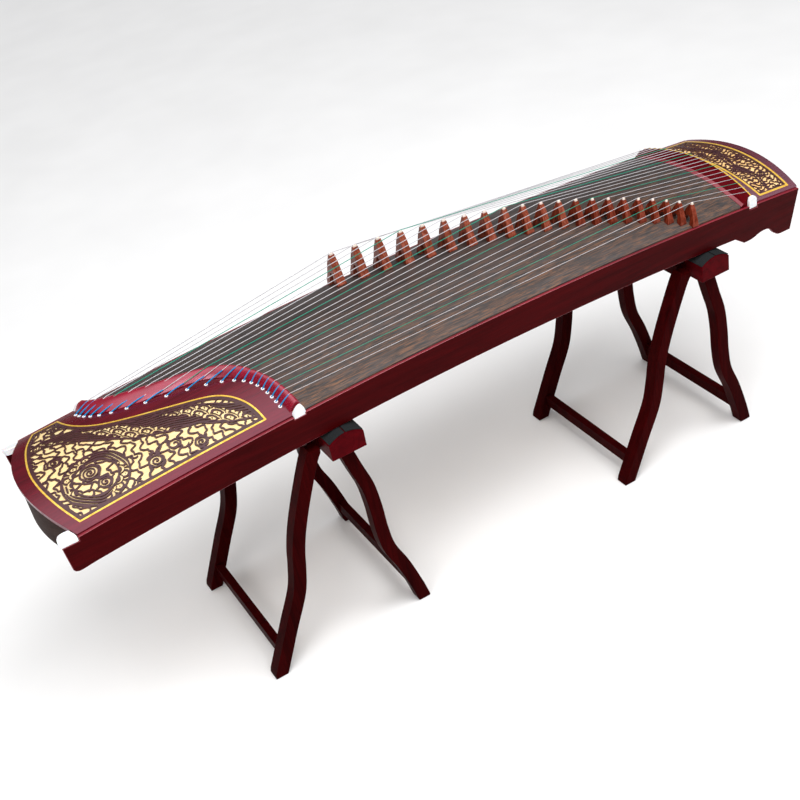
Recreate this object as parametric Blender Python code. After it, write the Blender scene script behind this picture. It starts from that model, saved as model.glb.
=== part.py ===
"""A 21-string guzheng (long plucked zither) lying on its two folding trestles.

+X runs towards the player's right (the tuning-pin end), +Y away from the player and +Z up.
The origin is on the floor under the middle of the object. All sizes are in metres.
"""

import math

import bmesh
import bpy
from mathutils import Matrix, Vector

GAP = 0.0003  # clearance between pieces that touch

# The sound box: its top edges are arched lengthwise, and its top is crowned across.
HALF_WIDTH = 0.171
SIDE_THICKNESS = 0.006
SIDE_HEIGHT = 0.0618
INNER_HALF = HALF_WIDTH - SIDE_THICKNESS - GAP
END_TOP_Z = 0.514
ARCH_RISE = 0.0366
ARCH_MIDDLE_X = 0.0085
ARCH_HALF_LENGTH = 0.784
CROWN = 0.028
BOARD_THICKNESS = 0.007
BACK_THICKNESS = 0.005

# Ends, seen from above: each end plate bulges outwards in a shallow arc.
TAIL_TIP_X = -0.8155
TAIL_BULGE = 0.0475
TAIL_POWER = 2.0
TAIL_END_X = -0.806
TAIL_OVERHANG = 0.0040
TAIL_WALL = 0.012
HEAD_TIP_X = 0.8155
HEAD_BULGE = 0.021
BOARD_HEAD_X = 0.647

# String layout.
STRINGS = 21
HOLE_PITCH = 0.0137
HEAD_PITCH = 0.0150
HOLE_MIDDLE_X = -0.522
HOLE_SPREAD_X = 0.148
HOLE_MIDDLE_Y = 0.028
HOLE_CURVE_WIDTH = 0.055
RIDGE_HEIGHT = 0.015
STRING_LIFT = 0.0016
STRIP_RADIUS = 0.0011
PIN_RADIUS = 0.0026

# Movable bridges, from the player's side (0) to the far side (1).
BRIDGE_NEAR_X = 0.536
BRIDGE_SPREAD = (0.350, 0.292)
BRIDGE_HEIGHT = (0.038, 0.070)
BRIDGE_HALF_SPAN = (0.0200, 0.0235)
BRIDGE_LEAN = 0.009
BRIDGES_LEANING = 14
BRIDGE_THICKNESS = (0.0140, 0.0230)
TIP_HEIGHT = 0.005

# Head bridge, lid and pin box.
HEAD_RIDGE_X = 0.674
HEAD_RIDGE_BOW = 0.014
HEAD_BACK = 0.0052
LID_START = 0.0118
LID_HALF = 0.157
LID_THICKNESS = 0.006
RECESS_DEPTH = 0.0032
CARVING_THICKNESS = 0.0026
TRIM_WIDTH = 0.0032

# Notches in the side panels' top edges for the ends of the bridges and the corner caps.
TAIL_CORNER_X = -0.7728
CORNER_DEPTH = 0.0053
NEAR_NOTCH = (-0.3665, -0.3445)
FAR_NOTCH = (-0.6605, -0.6385)
TAIL_NOTCH_DEPTH = 0.0043
HEAD_NOTCH = (0.6625, 0.6833)
HEAD_NOTCH_DEPTH = 0.0070

# Trestles.
BEAM_HALF_LENGTH = 0.190
BEAM_WIDTH = 0.070
BEAM_EDGE_HEIGHT = 0.034
BEAM_ARCH = 0.012
BEAM_OFFSET = 0.067
PAD_THICKNESS = 0.003
PAD_GROOVE = 0.005
LEG_WIDTH = 0.026
LEG_DEPTH = 0.028
LEG_OUTER_Y = 0.1695
STRETCHER_Z = 0.045
STRETCHER_HEIGHT = 0.024
STRETCHER_THICKNESS = 0.016
RAIL_WIDTH = 0.022
HINGE_RADIUS = 0.0030
TRESTLES = {"left": -0.357, "right": 0.488}

# Leg centre lines as (sideways, fraction of the height up to the beam).
FOLDING_LEG = (
    (-0.166, 0.0),
    (-0.144, 0.11),
    (-0.118, 0.24),
    (-0.087, 0.39),
    (-0.074, 0.51),
    (-0.067, 0.60),
    (-0.055, 0.70),
    (-0.034, 0.83),
    (-0.002, 1.0),
    (0.012, 1.055),
)
FIXED_LEG = (
    (0.160, 0.0),
    (0.150, 0.10),
    (0.131, 0.25),
    (0.110, 0.38),
    (0.103, 0.50),
    (0.101, 0.62),
    (0.095, 0.75),
    (0.082, 0.86),
    (0.066, 1.0),
)

LACQUER = ("red_lacquer", (0.16, 0.008, 0.012, 1), 0.22, 0.0)
DARK_LACQUER = ("dark_lacquer", (0.055, 0.006, 0.008, 1), 0.3, 0.0)
BOARD_WOOD = ("board_wood", (0.09, 0.06, 0.045, 1), 0.5, 0.0)
PLAIN_WOOD = ("plain_wood", (0.42, 0.27, 0.15, 1), 0.6, 0.0)
BRIDGE_WOOD = ("bridge_wood", (0.28, 0.06, 0.02, 1), 0.4, 0.0)
CARVED_WOOD = ("carved_wood", (0.07, 0.025, 0.03, 1), 0.5, 0.0)
BONE = ("bone", (0.85, 0.84, 0.8, 1), 0.3, 0.0)
STEEL = ("steel", (0.6, 0.6, 0.6, 1), 0.3, 1.0)
STRING = ("string", (0.7, 0.7, 0.7, 1), 0.35, 0.6)
PAD = ("pad", (0.02, 0.02, 0.022, 1), 0.8, 0.0)


# ---------------------------------------------------------------- scene and materials


def clear_scene():
    for old in list(bpy.data.objects):
        bpy.data.objects.remove(old, do_unlink=True)


def new_collection(name):
    collection = bpy.data.collections.new(name)
    bpy.context.scene.collection.children.link(collection)
    return collection


def material(look):
    name, colour, roughness, metallic = look
    made = bpy.data.materials.get(name)
    if made is None:
        made = bpy.data.materials.new(name)
        made.use_nodes = True
        shader = made.node_tree.nodes["Principled BSDF"]
        shader.inputs["Base Color"].default_value = colour
        shader.inputs["Roughness"].default_value = roughness
        shader.inputs["Metallic"].default_value = metallic
    return made


def add_object(name, mesh, look):
    obj = bpy.data.objects.new(name, mesh)
    PARTS.objects.link(obj)
    mesh.materials.append(material(look))
    return obj


def finish_mesh(name, bm):
    """Turns a bmesh into a mesh whose faces point outwards."""
    bmesh.ops.recalc_face_normals(bm, faces=bm.faces)
    mesh = bpy.data.meshes.new(name)
    bm.to_mesh(mesh)
    bm.free()
    return mesh


# ---------------------------------------------------------------- shape of the top


def side_top(x):
    """Height of the long top edges at x."""
    return END_TOP_Z + ARCH_RISE * (1 - ((x - ARCH_MIDDLE_X) / ARCH_HALF_LENGTH) ** 2)


def top_z(x, y):
    """Height of the crowned top surface."""
    return side_top(x) + CROWN * (1 - (y / HALF_WIDTH) ** 2)


def underside(x):
    return side_top(x) - SIDE_HEIGHT


def tail_edge(y):
    return TAIL_TIP_X + TAIL_BULGE * (abs(y) / HALF_WIDTH) ** TAIL_POWER


def head_edge(y):
    return HEAD_TIP_X - HEAD_BULGE * (y / HALF_WIDTH) ** 2


def head_ridge(y):
    return HEAD_RIDGE_X + HEAD_RIDGE_BOW * (1 - (y / HALF_WIDTH) ** 2)


def smooth(points, steps, closed=False):
    """Catmull-Rom curve through the points, with the given steps between them."""
    pts = [Vector(p) for p in points]
    count = len(pts)
    spans = count if closed else count - 1
    result = []
    for i in range(spans):
        if closed:
            a, b, c, d = (pts[(i + k) % count] for k in (-1, 0, 1, 2))
        else:
            a, b, c = pts[max(i - 1, 0)], pts[i], pts[i + 1]
            d = pts[min(i + 2, count - 1)]
        for s in range(steps):
            t = s / steps
            result.append(
                0.5
                * (
                    2 * b
                    + (c - a) * t
                    + (2 * a - 5 * b + 4 * c - d) * t**2
                    + (3 * b - a - 3 * c + d) * t**3
                )
            )
    if not closed:
        result.append(pts[-1])
    return result


# ---------------------------------------------------------------- mesh helpers


def crowned_sheet(name, x_low, x_high, half, thickness, look, cells, lift=0.0):
    """A sheet that follows the crowned top between two edges x_low(y) and x_high(y)."""
    along, across = cells
    bm = bmesh.new()
    bmesh.ops.create_grid(bm, x_segments=along, y_segments=across, size=0.5)
    for vert in bm.verts:
        y = vert.co.y * 2 * half
        share = vert.co.x + 0.5
        x = x_low(y) + (x_high(y) - x_low(y)) * share
        vert.co = (x, y, top_z(x, y) + lift)
    made = bmesh.ops.extrude_face_region(bm, geom=list(bm.faces))
    lower = [v for v in made["geom"] if isinstance(v, bmesh.types.BMVert)]
    bmesh.ops.translate(bm, verts=lower, vec=(0, 0, -thickness))
    return add_object(name, finish_mesh(name, bm), look)


def prism(outline, low, high, axis="Z"):
    """A bmesh prism over a flat outline; axis Z takes (x, y) points and axis Y (x, z)."""
    bm = bmesh.new()
    if axis == "Z":
        ring = [bm.verts.new((p[0], p[1], low)) for p in outline]
        shift = (0, 0, high - low)
    else:
        ring = [bm.verts.new((p[0], low, p[1])) for p in outline]
        shift = (0, high - low, 0)
    face = bm.faces.new(ring)
    made = bmesh.ops.extrude_face_region(bm, geom=[face])
    moved = [v for v in made["geom"] if isinstance(v, bmesh.types.BMVert)]
    bmesh.ops.translate(bm, verts=moved, vec=shift)
    return bm


def cutter(name, bm):
    obj = bpy.data.objects.new(name, finish_mesh(name, bm))
    CUTTERS.objects.link(obj)
    obj.hide_render = True
    obj.display_type = "WIRE"
    return obj


def hide_as_cutter(obj):
    PARTS.objects.unlink(obj)
    CUTTERS.objects.link(obj)
    obj.hide_render = True
    obj.display_type = "WIRE"


def boolean(obj, tool, operation):
    modifier = obj.modifiers.new(operation.title(), "BOOLEAN")
    modifier.operation = operation
    modifier.object = tool


def loft(name, rings, look):
    """A closed body through rings that all have the same number of points."""
    bm = bmesh.new()
    rails(bm, rings)
    return add_object(name, finish_mesh(name, bm), look)


def box(bm, centre, size):
    """Adds a box to a bmesh."""
    made = bmesh.ops.create_cube(bm, size=1.0)["verts"]
    bmesh.ops.scale(bm, vec=size, verts=made)
    bmesh.ops.translate(bm, vec=centre, verts=made)


def rod(bm, start, end, radius, sides=10):
    """Adds a round rod between two points to a bmesh."""
    start, end = Vector(start), Vector(end)
    run = end - start
    turn = Vector((0, 0, 1)).rotation_difference(run).to_matrix().to_4x4()
    bmesh.ops.create_cone(
        bm,
        cap_ends=True,
        segments=sides,
        radius1=radius,
        radius2=radius,
        depth=run.length,
        matrix=Matrix.Translation((start + end) / 2) @ turn,
    )


def rails(bm, rows):
    """Adds a closed body through rows of points to a bmesh."""
    made = [[bm.verts.new(p) for p in row] for row in rows]
    count = len(made[0])
    for row, following in zip(made, made[1:]):
        for k in range(count):
            j = (k + 1) % count
            bm.faces.new((row[k], row[j], following[j], following[k]))
    bm.faces.new(made[0])
    bm.faces.new(made[-1])


def join_to(obj, name, bm):
    """Joins a second closed shape to an object as one body."""
    boolean(obj, cutter(name, bm), "UNION")


# ---------------------------------------------------------------- plan outlines

# Matched points from the player's side to the far side of the long tail bridge.
TAIL_BRIDGE_BASE = (
    (-0.3665, -0.1705),
    (-0.3685, -0.137),
    (-0.374, -0.095),
    (-0.386, -0.055),
    (-0.411, -0.015),
    (-0.452, 0.018),
    (-0.512, 0.037),
    (-0.568, 0.053),
    (-0.612, 0.074),
    (-0.640, 0.100),
    (-0.655, 0.130),
    (-0.661, 0.1705),
)
TAIL_BRIDGE_RIDGE = (
    (-0.3500, -0.1705),
    (-0.3525, -0.137),
    (-0.359, -0.095),
    (-0.372, -0.055),
    (-0.394, -0.010),
    (-0.428, 0.024),
    (-0.478, 0.050),
    (-0.532, 0.070),
    (-0.583, 0.094),
    (-0.617, 0.120),
    (-0.637, 0.145),
    (-0.6455, 0.1705),
)
TAIL_BRIDGE_TOE = 0.007

# The gold-framed panel in the tail plate: a straight near edge, the arc along the tail,
# a short far edge and a wavy edge that follows the tail bridge.
TAIL_PANEL = (
    (-0.409, -0.146),
    (-0.500, -0.147),
    (-0.600, -0.147),
    (-0.758, -0.146),
    (-0.772, -0.108),
    (-0.782, -0.069),
    (-0.788, -0.030),
    (-0.789, 0.012),
    (-0.782, 0.060),
    (-0.768, 0.111),
    (-0.745, 0.158),
    (-0.697, 0.156),
    (-0.692, 0.127),
    (-0.682, 0.098),
    (-0.664, 0.070),
    (-0.640, 0.047),
    (-0.607, 0.027),
    (-0.573, 0.011),
    (-0.522, -0.010),
    (-0.477, -0.028),
    (-0.452, -0.042),
    (-0.433, -0.062),
    (-0.419, -0.089),
    (-0.412, -0.115),
)


def head_panel():
    """Outline of the panel in the lid: a nearly straight left edge and a bowed right edge."""
    half = 0.153
    steps = 10
    left = []
    right = []
    for i in range(steps + 1):
        y = half - 2 * half * i / steps
        bow = 1 - (y / half) ** 2
        left.append((0.7070 + 0.0030 * bow, y))
        right.append((0.7800 + 0.0125 * bow, -y))
    return left + right


def inset(outline, distance):
    """Moves a counter-clockwise or clockwise closed outline inwards by a distance."""
    points = [Vector(p[:2]) for p in outline]
    count = len(points)
    area = sum(
        points[i].x * points[(i + 1) % count].y - points[(i + 1) % count].x * points[i].y
        for i in range(count)
    )
    side = 1 if area > 0 else -1
    moved = []
    for i in range(count):
        before = (points[i] - points[i - 1]).normalized()
        after = (points[(i + 1) % count] - points[i]).normalized()
        normal_a = Vector((-before.y, before.x)) * side
        normal_b = Vector((-after.y, after.x)) * side
        middle = (normal_a + normal_b).normalized()
        reach = distance / max(middle.dot(normal_a), 0.35)
        moved.append(points[i] + middle * reach)
    return moved


# ---------------------------------------------------------------- strings


def hole_place(i):
    y = (i - (STRINGS - 1) / 2) * HOLE_PITCH
    x = HOLE_MIDDLE_X - HOLE_SPREAD_X * math.tanh((y - HOLE_MIDDLE_Y) / HOLE_CURVE_WIDTH)
    return x, y


def head_place(i):
    y = (i - (STRINGS - 1) / 2) * HEAD_PITCH
    return head_ridge(y), y


def string_y(i, x):
    x0, y0 = hole_place(i)
    x1, y1 = head_place(i)
    return y0 + (y1 - y0) * (x - x0) / (x1 - x0)


def tail_ridge_x(y):
    """x of the tail bridge's ridge at y, from the smooth ridge line."""
    line = smooth(TAIL_BRIDGE_RIDGE, 3)
    for a, b in zip(line, line[1:]):
        if a.y <= y <= b.y:
            return a.x + (b.x - a.x) * (y - a.y) / (b.y - a.y)
    return line[0].x if y < line[0].y else line[-1].x


def ridge_crossing(i):
    x = hole_place(i)[0]
    for _ in range(20):
        x = 0.5 * x + 0.5 * tail_ridge_x(string_y(i, x))
    return x


def string_radius(i):
    return 0.00040 + 0.00035 * i / (STRINGS - 1)


def ease(t):
    return t * t * (3 - 2 * t)


def between(pair, t):
    return pair[0] + (pair[1] - pair[0]) * t


def bridge_place(i):
    """x, y, height, half span and thickness of movable bridge i."""
    t = i / (STRINGS - 1)
    x = BRIDGE_NEAR_X - BRIDGE_SPREAD[0] * t - BRIDGE_SPREAD[1] * t * t
    height = between(BRIDGE_HEIGHT, ease(t))
    return x, string_y(i, x), height, between(BRIDGE_HALF_SPAN, t), between(BRIDGE_THICKNESS, t)


def bridge_lean(i):
    """How far the feet of movable bridge i stand towards the tail from its tip."""
    return BRIDGE_LEAN * max(1 - i / BRIDGES_LEANING, 0)


def pin_place(i):
    return 0.735 + 0.011 * (i % 3), head_place(i)[1]


def strip_place(y):
    """The hidden strip in the pin box that the lower string ends run into."""
    x = head_ridge(0) + 0.0150
    return Vector((x, y, top_z(x, y) - 0.0130))


def tubes(name, routes, radii, look):
    """Round tubes along straight-sided routes, as one mesh object."""
    curve = bpy.data.curves.new(name, "CURVE")
    curve.dimensions = "3D"
    curve.bevel_depth = 1.0
    curve.bevel_resolution = 1
    curve.use_fill_caps = True
    for route, radius in zip(routes, radii):
        spline = curve.splines.new("POLY")
        spline.points.add(len(route) - 1)
        for point, place in zip(spline.points, route):
            point.co = (*place, 1)
            point.radius = radius
    drawn = bpy.data.objects.new(name, curve)
    PARTS.objects.link(drawn)
    depsgraph = bpy.context.evaluated_depsgraph_get()
    mesh = bpy.data.meshes.new_from_object(drawn.evaluated_get(depsgraph))
    bpy.data.objects.remove(drawn, do_unlink=True)
    bm = bmesh.new()
    bm.from_mesh(mesh)
    bpy.data.meshes.remove(mesh)
    bmesh.ops.remove_doubles(bm, verts=bm.verts, dist=0.00001)
    return add_object(name, finish_mesh(name, bm), look)


def build_strings():
    """The strings from their holes to the pin box, where a strip joins them into one set."""
    routes = []
    for i in range(STRINGS):
        radius = string_radius(i)
        hole_x, hole_y = hole_place(i)
        ridge_x = ridge_crossing(i)
        ridge_y = string_y(i, ridge_x)
        head_x, head_y = head_place(i)
        x, y, height = bridge_place(i)[:3]
        over_x = head_x + 0.0032
        slot_x = head_x + 0.0086
        routes.append(
            [
                Vector((hole_x, hole_y, top_z(hole_x, hole_y) + radius + 2 * GAP)),
                Vector((ridge_x, ridge_y, top_z(ridge_x, ridge_y) + RIDGE_HEIGHT + STRING_LIFT)),
                Vector((x, y, top_z(x, y) + height + radius + 3 * GAP)),
                Vector((head_x, head_y, top_z(head_x, head_y) + RIDGE_HEIGHT + radius + 2 * GAP)),
                Vector((over_x, head_y, top_z(over_x, head_y) + RIDGE_HEIGHT)),
                Vector((slot_x, head_y, top_z(slot_x, head_y) - 0.0060)),
                strip_place(head_y),
            ]
        )
    strings = tubes("strings", routes, [string_radius(i) for i in range(STRINGS)], STRING)
    half = head_place(STRINGS - 1)[1] + 0.002
    strip = tubes("string_strip", [[strip_place(half * k / 5) for k in range(-5, 6)]], [STRIP_RADIUS], STRING)
    hide_as_cutter(strip)
    boolean(strings, strip, "UNION")


# ---------------------------------------------------------------- movable bridges


def bridge_outline(i):
    """A shape across the strings: (y, z) from the soundboard under the bridge's tip."""
    x, y, height, span, _ = bridge_place(i)
    foot = 0.55 * span
    base = top_z(x, y)

    def floor(offset):
        return top_z(x - bridge_lean(i), y + offset) - base + 1.5 * GAP

    left = [
        (-span, floor(-span)),
        (-0.93 * span, 0.14 * height),
        (-0.62 * span, 0.45 * height),
        (-0.40 * span, 0.70 * height),
        (-0.0032, height - TIP_HEIGHT),
        (-0.0026, height),
    ]
    right = [(-a, b) for a, b in left[:0:-1]] + [(span, floor(span))]
    arch = [
        (span - foot, floor(span - foot)),
        (0.34 * span, 0.22 * height),
        (0.18 * span, 0.36 * height),
        (-0.18 * span, 0.36 * height),
        (-0.34 * span, 0.22 * height),
        (foot - span, floor(foot - span)),
    ]
    return left + right + arch


def build_bridge(i):
    """An A-shaped bridge that tapers upwards; its object stands on the soundboard under its tip,
    and the small bridges' feet stand a little towards the tail."""
    x, y, height, _, thickness = bridge_place(i)
    name = f"bridge_{i + 1:02d}"
    bm = bmesh.new()
    ring = [bm.verts.new((-0.5, p[0], p[1])) for p in bridge_outline(i)]
    face = bm.faces.new(ring)
    made = bmesh.ops.extrude_face_region(bm, geom=[face])
    moved = [v for v in made["geom"] if isinstance(v, bmesh.types.BMVert)]
    bmesh.ops.translate(bm, verts=moved, vec=(1, 0, 0))
    for vert in bm.verts:
        share = min(max(vert.co.z / height, 0), 1)
        vert.co.x = vert.co.x * thickness * (1 - 0.56 * share) - bridge_lean(i) * (1 - share)
    obj = add_object(name, finish_mesh(name, bm), BRIDGE_WOOD)
    obj.location = (x, y, top_z(x, y))


# ---------------------------------------------------------------- sound box


def notch(low, high, depth):
    """Points of a square notch in the long top edge."""
    sliver = 0.0001
    return [
        (low, side_top(low)),
        (low + sliver, side_top(low) - depth),
        (high - sliver, side_top(high) - depth),
        (high, side_top(high)),
    ]


def side_outline(bridge_notch):
    """Side panel seen from the player: an arched top edge with notches for the bone caps,
    a straight tail end, an arched lower edge and a scrolled foot at the head."""
    corner = side_top(-0.803) - CORNER_DEPTH
    upper = [(TAIL_END_X + 0.003, corner), (TAIL_CORNER_X, corner)]
    upper.append((TAIL_CORNER_X + 0.0001, side_top(-0.776)))
    plain = [-0.70, -0.60, -0.50, -0.43, -0.31, -0.20, -0.10, 0.0, 0.10, 0.20, 0.31, 0.42, 0.52, 0.60]
    low, high = bridge_notch
    upper += [(x, side_top(x)) for x in plain if x < low - 0.01]
    upper += notch(low, high, TAIL_NOTCH_DEPTH)
    upper += [(x, side_top(x)) for x in plain if x > high + 0.01]
    upper += notch(HEAD_NOTCH[0], HEAD_NOTCH[1], HEAD_NOTCH_DEPTH)
    upper += [(0.74, side_top(0.74)), (0.7945, side_top(0.7945))]
    foot = [
        (0.7715, 0.4297),
        (0.7540, 0.4299),
        (0.7395, 0.4312),
        (0.7310, 0.4360),
        (0.7246, 0.4415),
        (0.7190, 0.4486),
        (0.7125, 0.4545),
        (0.7000, 0.4562),
        (0.6880, 0.4548),
        (0.6752, 0.4508),
        (0.6620, 0.4489),
        (0.6480, 0.4492),
        (0.6360, 0.4580),
        (0.6244, underside(0.6244)),
    ]
    stations = [0.53, 0.42, 0.31, 0.20, 0.10, 0.0, -0.10, -0.20, -0.31, -0.43, -0.52, -0.62, -0.71]
    lower = [(x, underside(x)) for x in stations]
    tail = [(-0.786, 0.4503), (-0.795, 0.4518), (-0.7995, 0.4575)]
    return upper + foot + lower + tail


def build_sides():
    for side, sign, bridge_notch in (("near", -1, NEAR_NOTCH), ("far", 1, FAR_NOTCH)):
        name = f"side_panel_{side}"
        low, high = sorted((sign * HALF_WIDTH, sign * (HALF_WIDTH - SIDE_THICKNESS)))
        outline = side_outline(bridge_notch)
        add_object(name, finish_mesh(name, prism(outline, low, high, axis="Y")), LACQUER)


def across(name, profile, stations, look):
    """A body lofted across the instrument; profile(y) gives its ring of (x, z) points."""
    return loft(name, [[(x, y, z) for x, z in profile(y)] for y in stations], look)


def even(half, steps):
    return [-half + 2 * half * k / steps for k in range(steps + 1)]


def sunk_panel(plate, carving_name, panel, span, cells):
    """Sinks a recess with the panel's outline into a plate and lays a carving in it."""
    low_x, high_x, half = span
    name = plate.name

    def low(_):
        return low_x

    def high(_):
        return high_x

    depth = 0.03
    rise = depth - RECESS_DEPTH
    recess = crowned_sheet(f"{name}_recess", low, high, half, depth, LACQUER, cells, rise)
    hide_as_cutter(recess)
    edge = prism(inset(panel, -TRIM_WIDTH / 2), 0.4, 0.6)
    boolean(recess, cutter(f"{name}_recess_edge", edge), "INTERSECT")
    boolean(plate, recess, "DIFFERENCE")
    drop = CARVING_THICKNESS - RECESS_DEPTH + GAP
    carving = crowned_sheet(carving_name, low, high, half, CARVING_THICKNESS, CARVED_WOOD, cells, drop)
    edge = prism(inset(panel, -TRIM_WIDTH / 2 + GAP), 0.4, 0.6)
    boolean(carving, cutter(f"{carving_name}_edge", edge), "INTERSECT")


def build_tail():
    seam = smooth(TAIL_BRIDGE_RIDGE, 3)

    def seam_x(y):
        """The line under the tail bridge where the tail plate meets the soundboard."""
        for a, b in zip(seam, seam[1:]):
            if a.y <= y <= b.y:
                return a.x + (b.x - a.x) * (y - a.y) / (b.y - a.y) - 0.008
        return seam[-1].x - 0.008

    def seam_tail_side(y):
        return seam_x(y) - GAP

    def board_head(_):
        return BOARD_HEAD_X

    half, thick = INNER_HALF, BOARD_THICKNESS
    plate = crowned_sheet("tail_plate", tail_edge, seam_tail_side, half, thick, LACQUER, (8, 22))
    crowned_sheet("soundboard", seam_x, board_head, half, thick, BOARD_WOOD, (10, 22))
    sunk_panel(plate, "tail_carving", TAIL_PANEL, (-0.797, -0.400, 0.160), (8, 14))

    def end_board(y):
        x = tail_edge(y) + TAIL_OVERHANG
        bottom = underside(-0.79) + 0.001
        upper = top_z(x, y) - BOARD_THICKNESS - 3 * GAP
        inside = x + TAIL_WALL
        return [(x + 0.001, bottom), (x, upper), (inside, upper), (inside, bottom)]

    across("tail_end_board", end_board, even(INNER_HALF, 16), DARK_LACQUER)


def tail_bridge_section(base, ridge):
    """Wedge section: a long, slightly rounded slope, the ridge, and a steep front."""
    inner = Vector(base)
    crest = Vector(ridge)
    way = (crest - inner).normalized()
    toe = crest + way * TAIL_BRIDGE_TOE
    rise = [
        (inner, GAP),
        (inner, 0.0016),
        (inner.lerp(crest, 0.30), 0.0056),
        (inner.lerp(crest, 0.62), 0.0104),
        (inner.lerp(crest, 0.86), 0.0136),
        (crest, RIDGE_HEIGHT),
        (crest + way * 0.0032, 0.0138),
        (crest + way * 0.0058, 0.0090),
        (toe, GAP),
        (inner.lerp(toe, 0.66), GAP),
        (inner.lerp(toe, 0.33), GAP),
    ]
    return [(p.x, p.y, top_z(p.x, p.y) + height) for p, height in rise]


def build_tail_bridge():
    bases = smooth(TAIL_BRIDGE_BASE, 3)
    crests = smooth(TAIL_BRIDGE_RIDGE, 3)
    bridge = loft("tail_bridge", [tail_bridge_section(a, b) for a, b in zip(bases, crests)], LACQUER)
    for side, sign, (low, high) in (("near", -1, NEAR_NOTCH), ("far", 1, FAR_NOTCH)):
        seat = max(side_top(low), side_top(high))
        slack = 0.0004
        outline = [
            (low + slack, seat - TAIL_NOTCH_DEPTH + 2 * GAP),
            (high - slack, seat - TAIL_NOTCH_DEPTH + 2 * GAP),
            (high - slack, seat + 0.0090),
            (high - 0.0045, seat + 0.0165),
            (high - 0.0080, seat + 0.0160),
            (low + slack, seat + 0.0030),
        ]
        near, far = sorted((sign * (INNER_HALF + 2 * GAP), sign * HALF_WIDTH))
        join_to(bridge, f"tail_bridge_end_{side}", prism(outline, near, far, axis="Y"))


def build_corner_caps():
    """Bone caps on the two corners of the tail."""
    for side, sign in (("near", -1), ("far", 1)):
        end = HALF_WIDTH
        outline = [
            (TAIL_CORNER_X - 0.0006, sign * end),
            (TAIL_CORNER_X - 0.0006, sign * 0.1653),
            (tail_edge(0.1600) - 0.0006, sign * 0.1600),
            (tail_edge(0.1540) - 0.0006, sign * 0.1540),
            (tail_edge(0.1480) - 0.0006, sign * 0.1480),
            (-0.7960, sign * 0.1480),
            (-0.8030, sign * 0.1510),
            (-0.8058, sign * 0.1580),
            (-0.8058, sign * end),
        ]
        seat = side_top(-0.803) - CORNER_DEPTH + GAP
        bm = prism(outline, seat, seat + 0.010)
        for vert in bm.verts:
            if vert.co.z > seat + 0.005:
                vert.co.z = top_z(-0.79, vert.co.y)
        name = f"tail_cap_{side}"
        add_object(name, finish_mesh(name, bm), BONE)


def build_head():
    drop = BOARD_THICKNESS

    def head_bridge(y):
        ridge = head_ridge(y)

        def up(x, height):
            return (x, top_z(x, y) + height)

        return [
            up(BOARD_HEAD_X + GAP, -drop),
            up(BOARD_HEAD_X + GAP, 0.0),
            up(0.4 * BOARD_HEAD_X + 0.6 * ridge, 0.0085),
            up(ridge - 0.004, 0.0140),
            up(ridge, RIDGE_HEIGHT),
            up(ridge + 0.0022, 0.0135),
            up(ridge + HEAD_BACK, -drop),
        ]

    bridge = across("head_bridge", head_bridge, even(INNER_HALF, 14), LACQUER)
    low, high = HEAD_NOTCH[0] + 0.0004, HEAD_NOTCH[1] - 0.0004
    seat = side_top(HEAD_NOTCH[0]) - HEAD_NOTCH_DEPTH + 2 * GAP
    outline = [
        (low, seat),
        (high, seat),
        (high, seat + 0.0180),
        (0.6800, seat + 0.0235),
        (0.6740, seat + 0.0250),
        (0.6665, seat + 0.0232),
        (low, seat + 0.0175),
    ]
    for side, sign in (("near", -1), ("far", 1)):
        near, far = sorted((sign * 0.1620, sign * HALF_WIDTH))
        join_to(bridge, f"head_bridge_end_{side}", prism(outline, near, far, axis="Y"))

    def plate_start(y):
        return head_ridge(y) + LID_START

    def lid_start(y):
        return head_ridge(y) + LID_START

    def lid_end(y):
        return 0.7865 + 0.0125 * (1 - (y / HALF_WIDTH) ** 2)

    plate = crowned_sheet("head_plate", plate_start, head_edge, INNER_HALF, drop, LACQUER, (5, 14))
    edge = LID_HALF + GAP
    hole = [(0.65, -edge), (0.65, edge)]
    hole += [(lid_end(y) + GAP, y) for y in even(edge, 12)[::-1]]
    boolean(plate, cutter("lid_hole", prism(hole, 0.4, 0.6)), "DIFFERENCE")
    lid = crowned_sheet("pin_box_lid", lid_start, lid_end, LID_HALF, LID_THICKNESS, LACQUER, (5, 14))
    sunk_panel(lid, "lid_carving", head_panel(), (0.702, 0.7950, 0.1570), (5, 14))

    def end_board(y):
        low = 0.4300
        outer, inner = (top_z(x, y) - drop - 3 * GAP for x in (0.7905, 0.7760))
        return [(0.7711, low), (0.7905, outer), (0.7760, inner), (0.7580, low)]

    across("head_end_board", end_board, even(INNER_HALF, 12), LACQUER)


def build_pin_block():
    """The block in the pin box with its three staggered rows of tuning pins."""

    def section(y):
        low = underside(0.715) + 2 * BACK_THICKNESS
        high = top_z(0.74, y) - 0.030
        return [(0.724, low), (0.724, high), (0.7635, high), (0.7635, low)]

    block = across("pin_block", section, even(0.155, 10), PLAIN_WOOD)
    pins = bmesh.new()
    for i in range(STRINGS):
        x, y = pin_place(i)
        rod(pins, (x, y, top_z(x, y) - 0.036), (x, y, top_z(x, y) - 0.0085), PIN_RADIUS, 8)
    join_to(block, "tuning_pins", pins)


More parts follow.
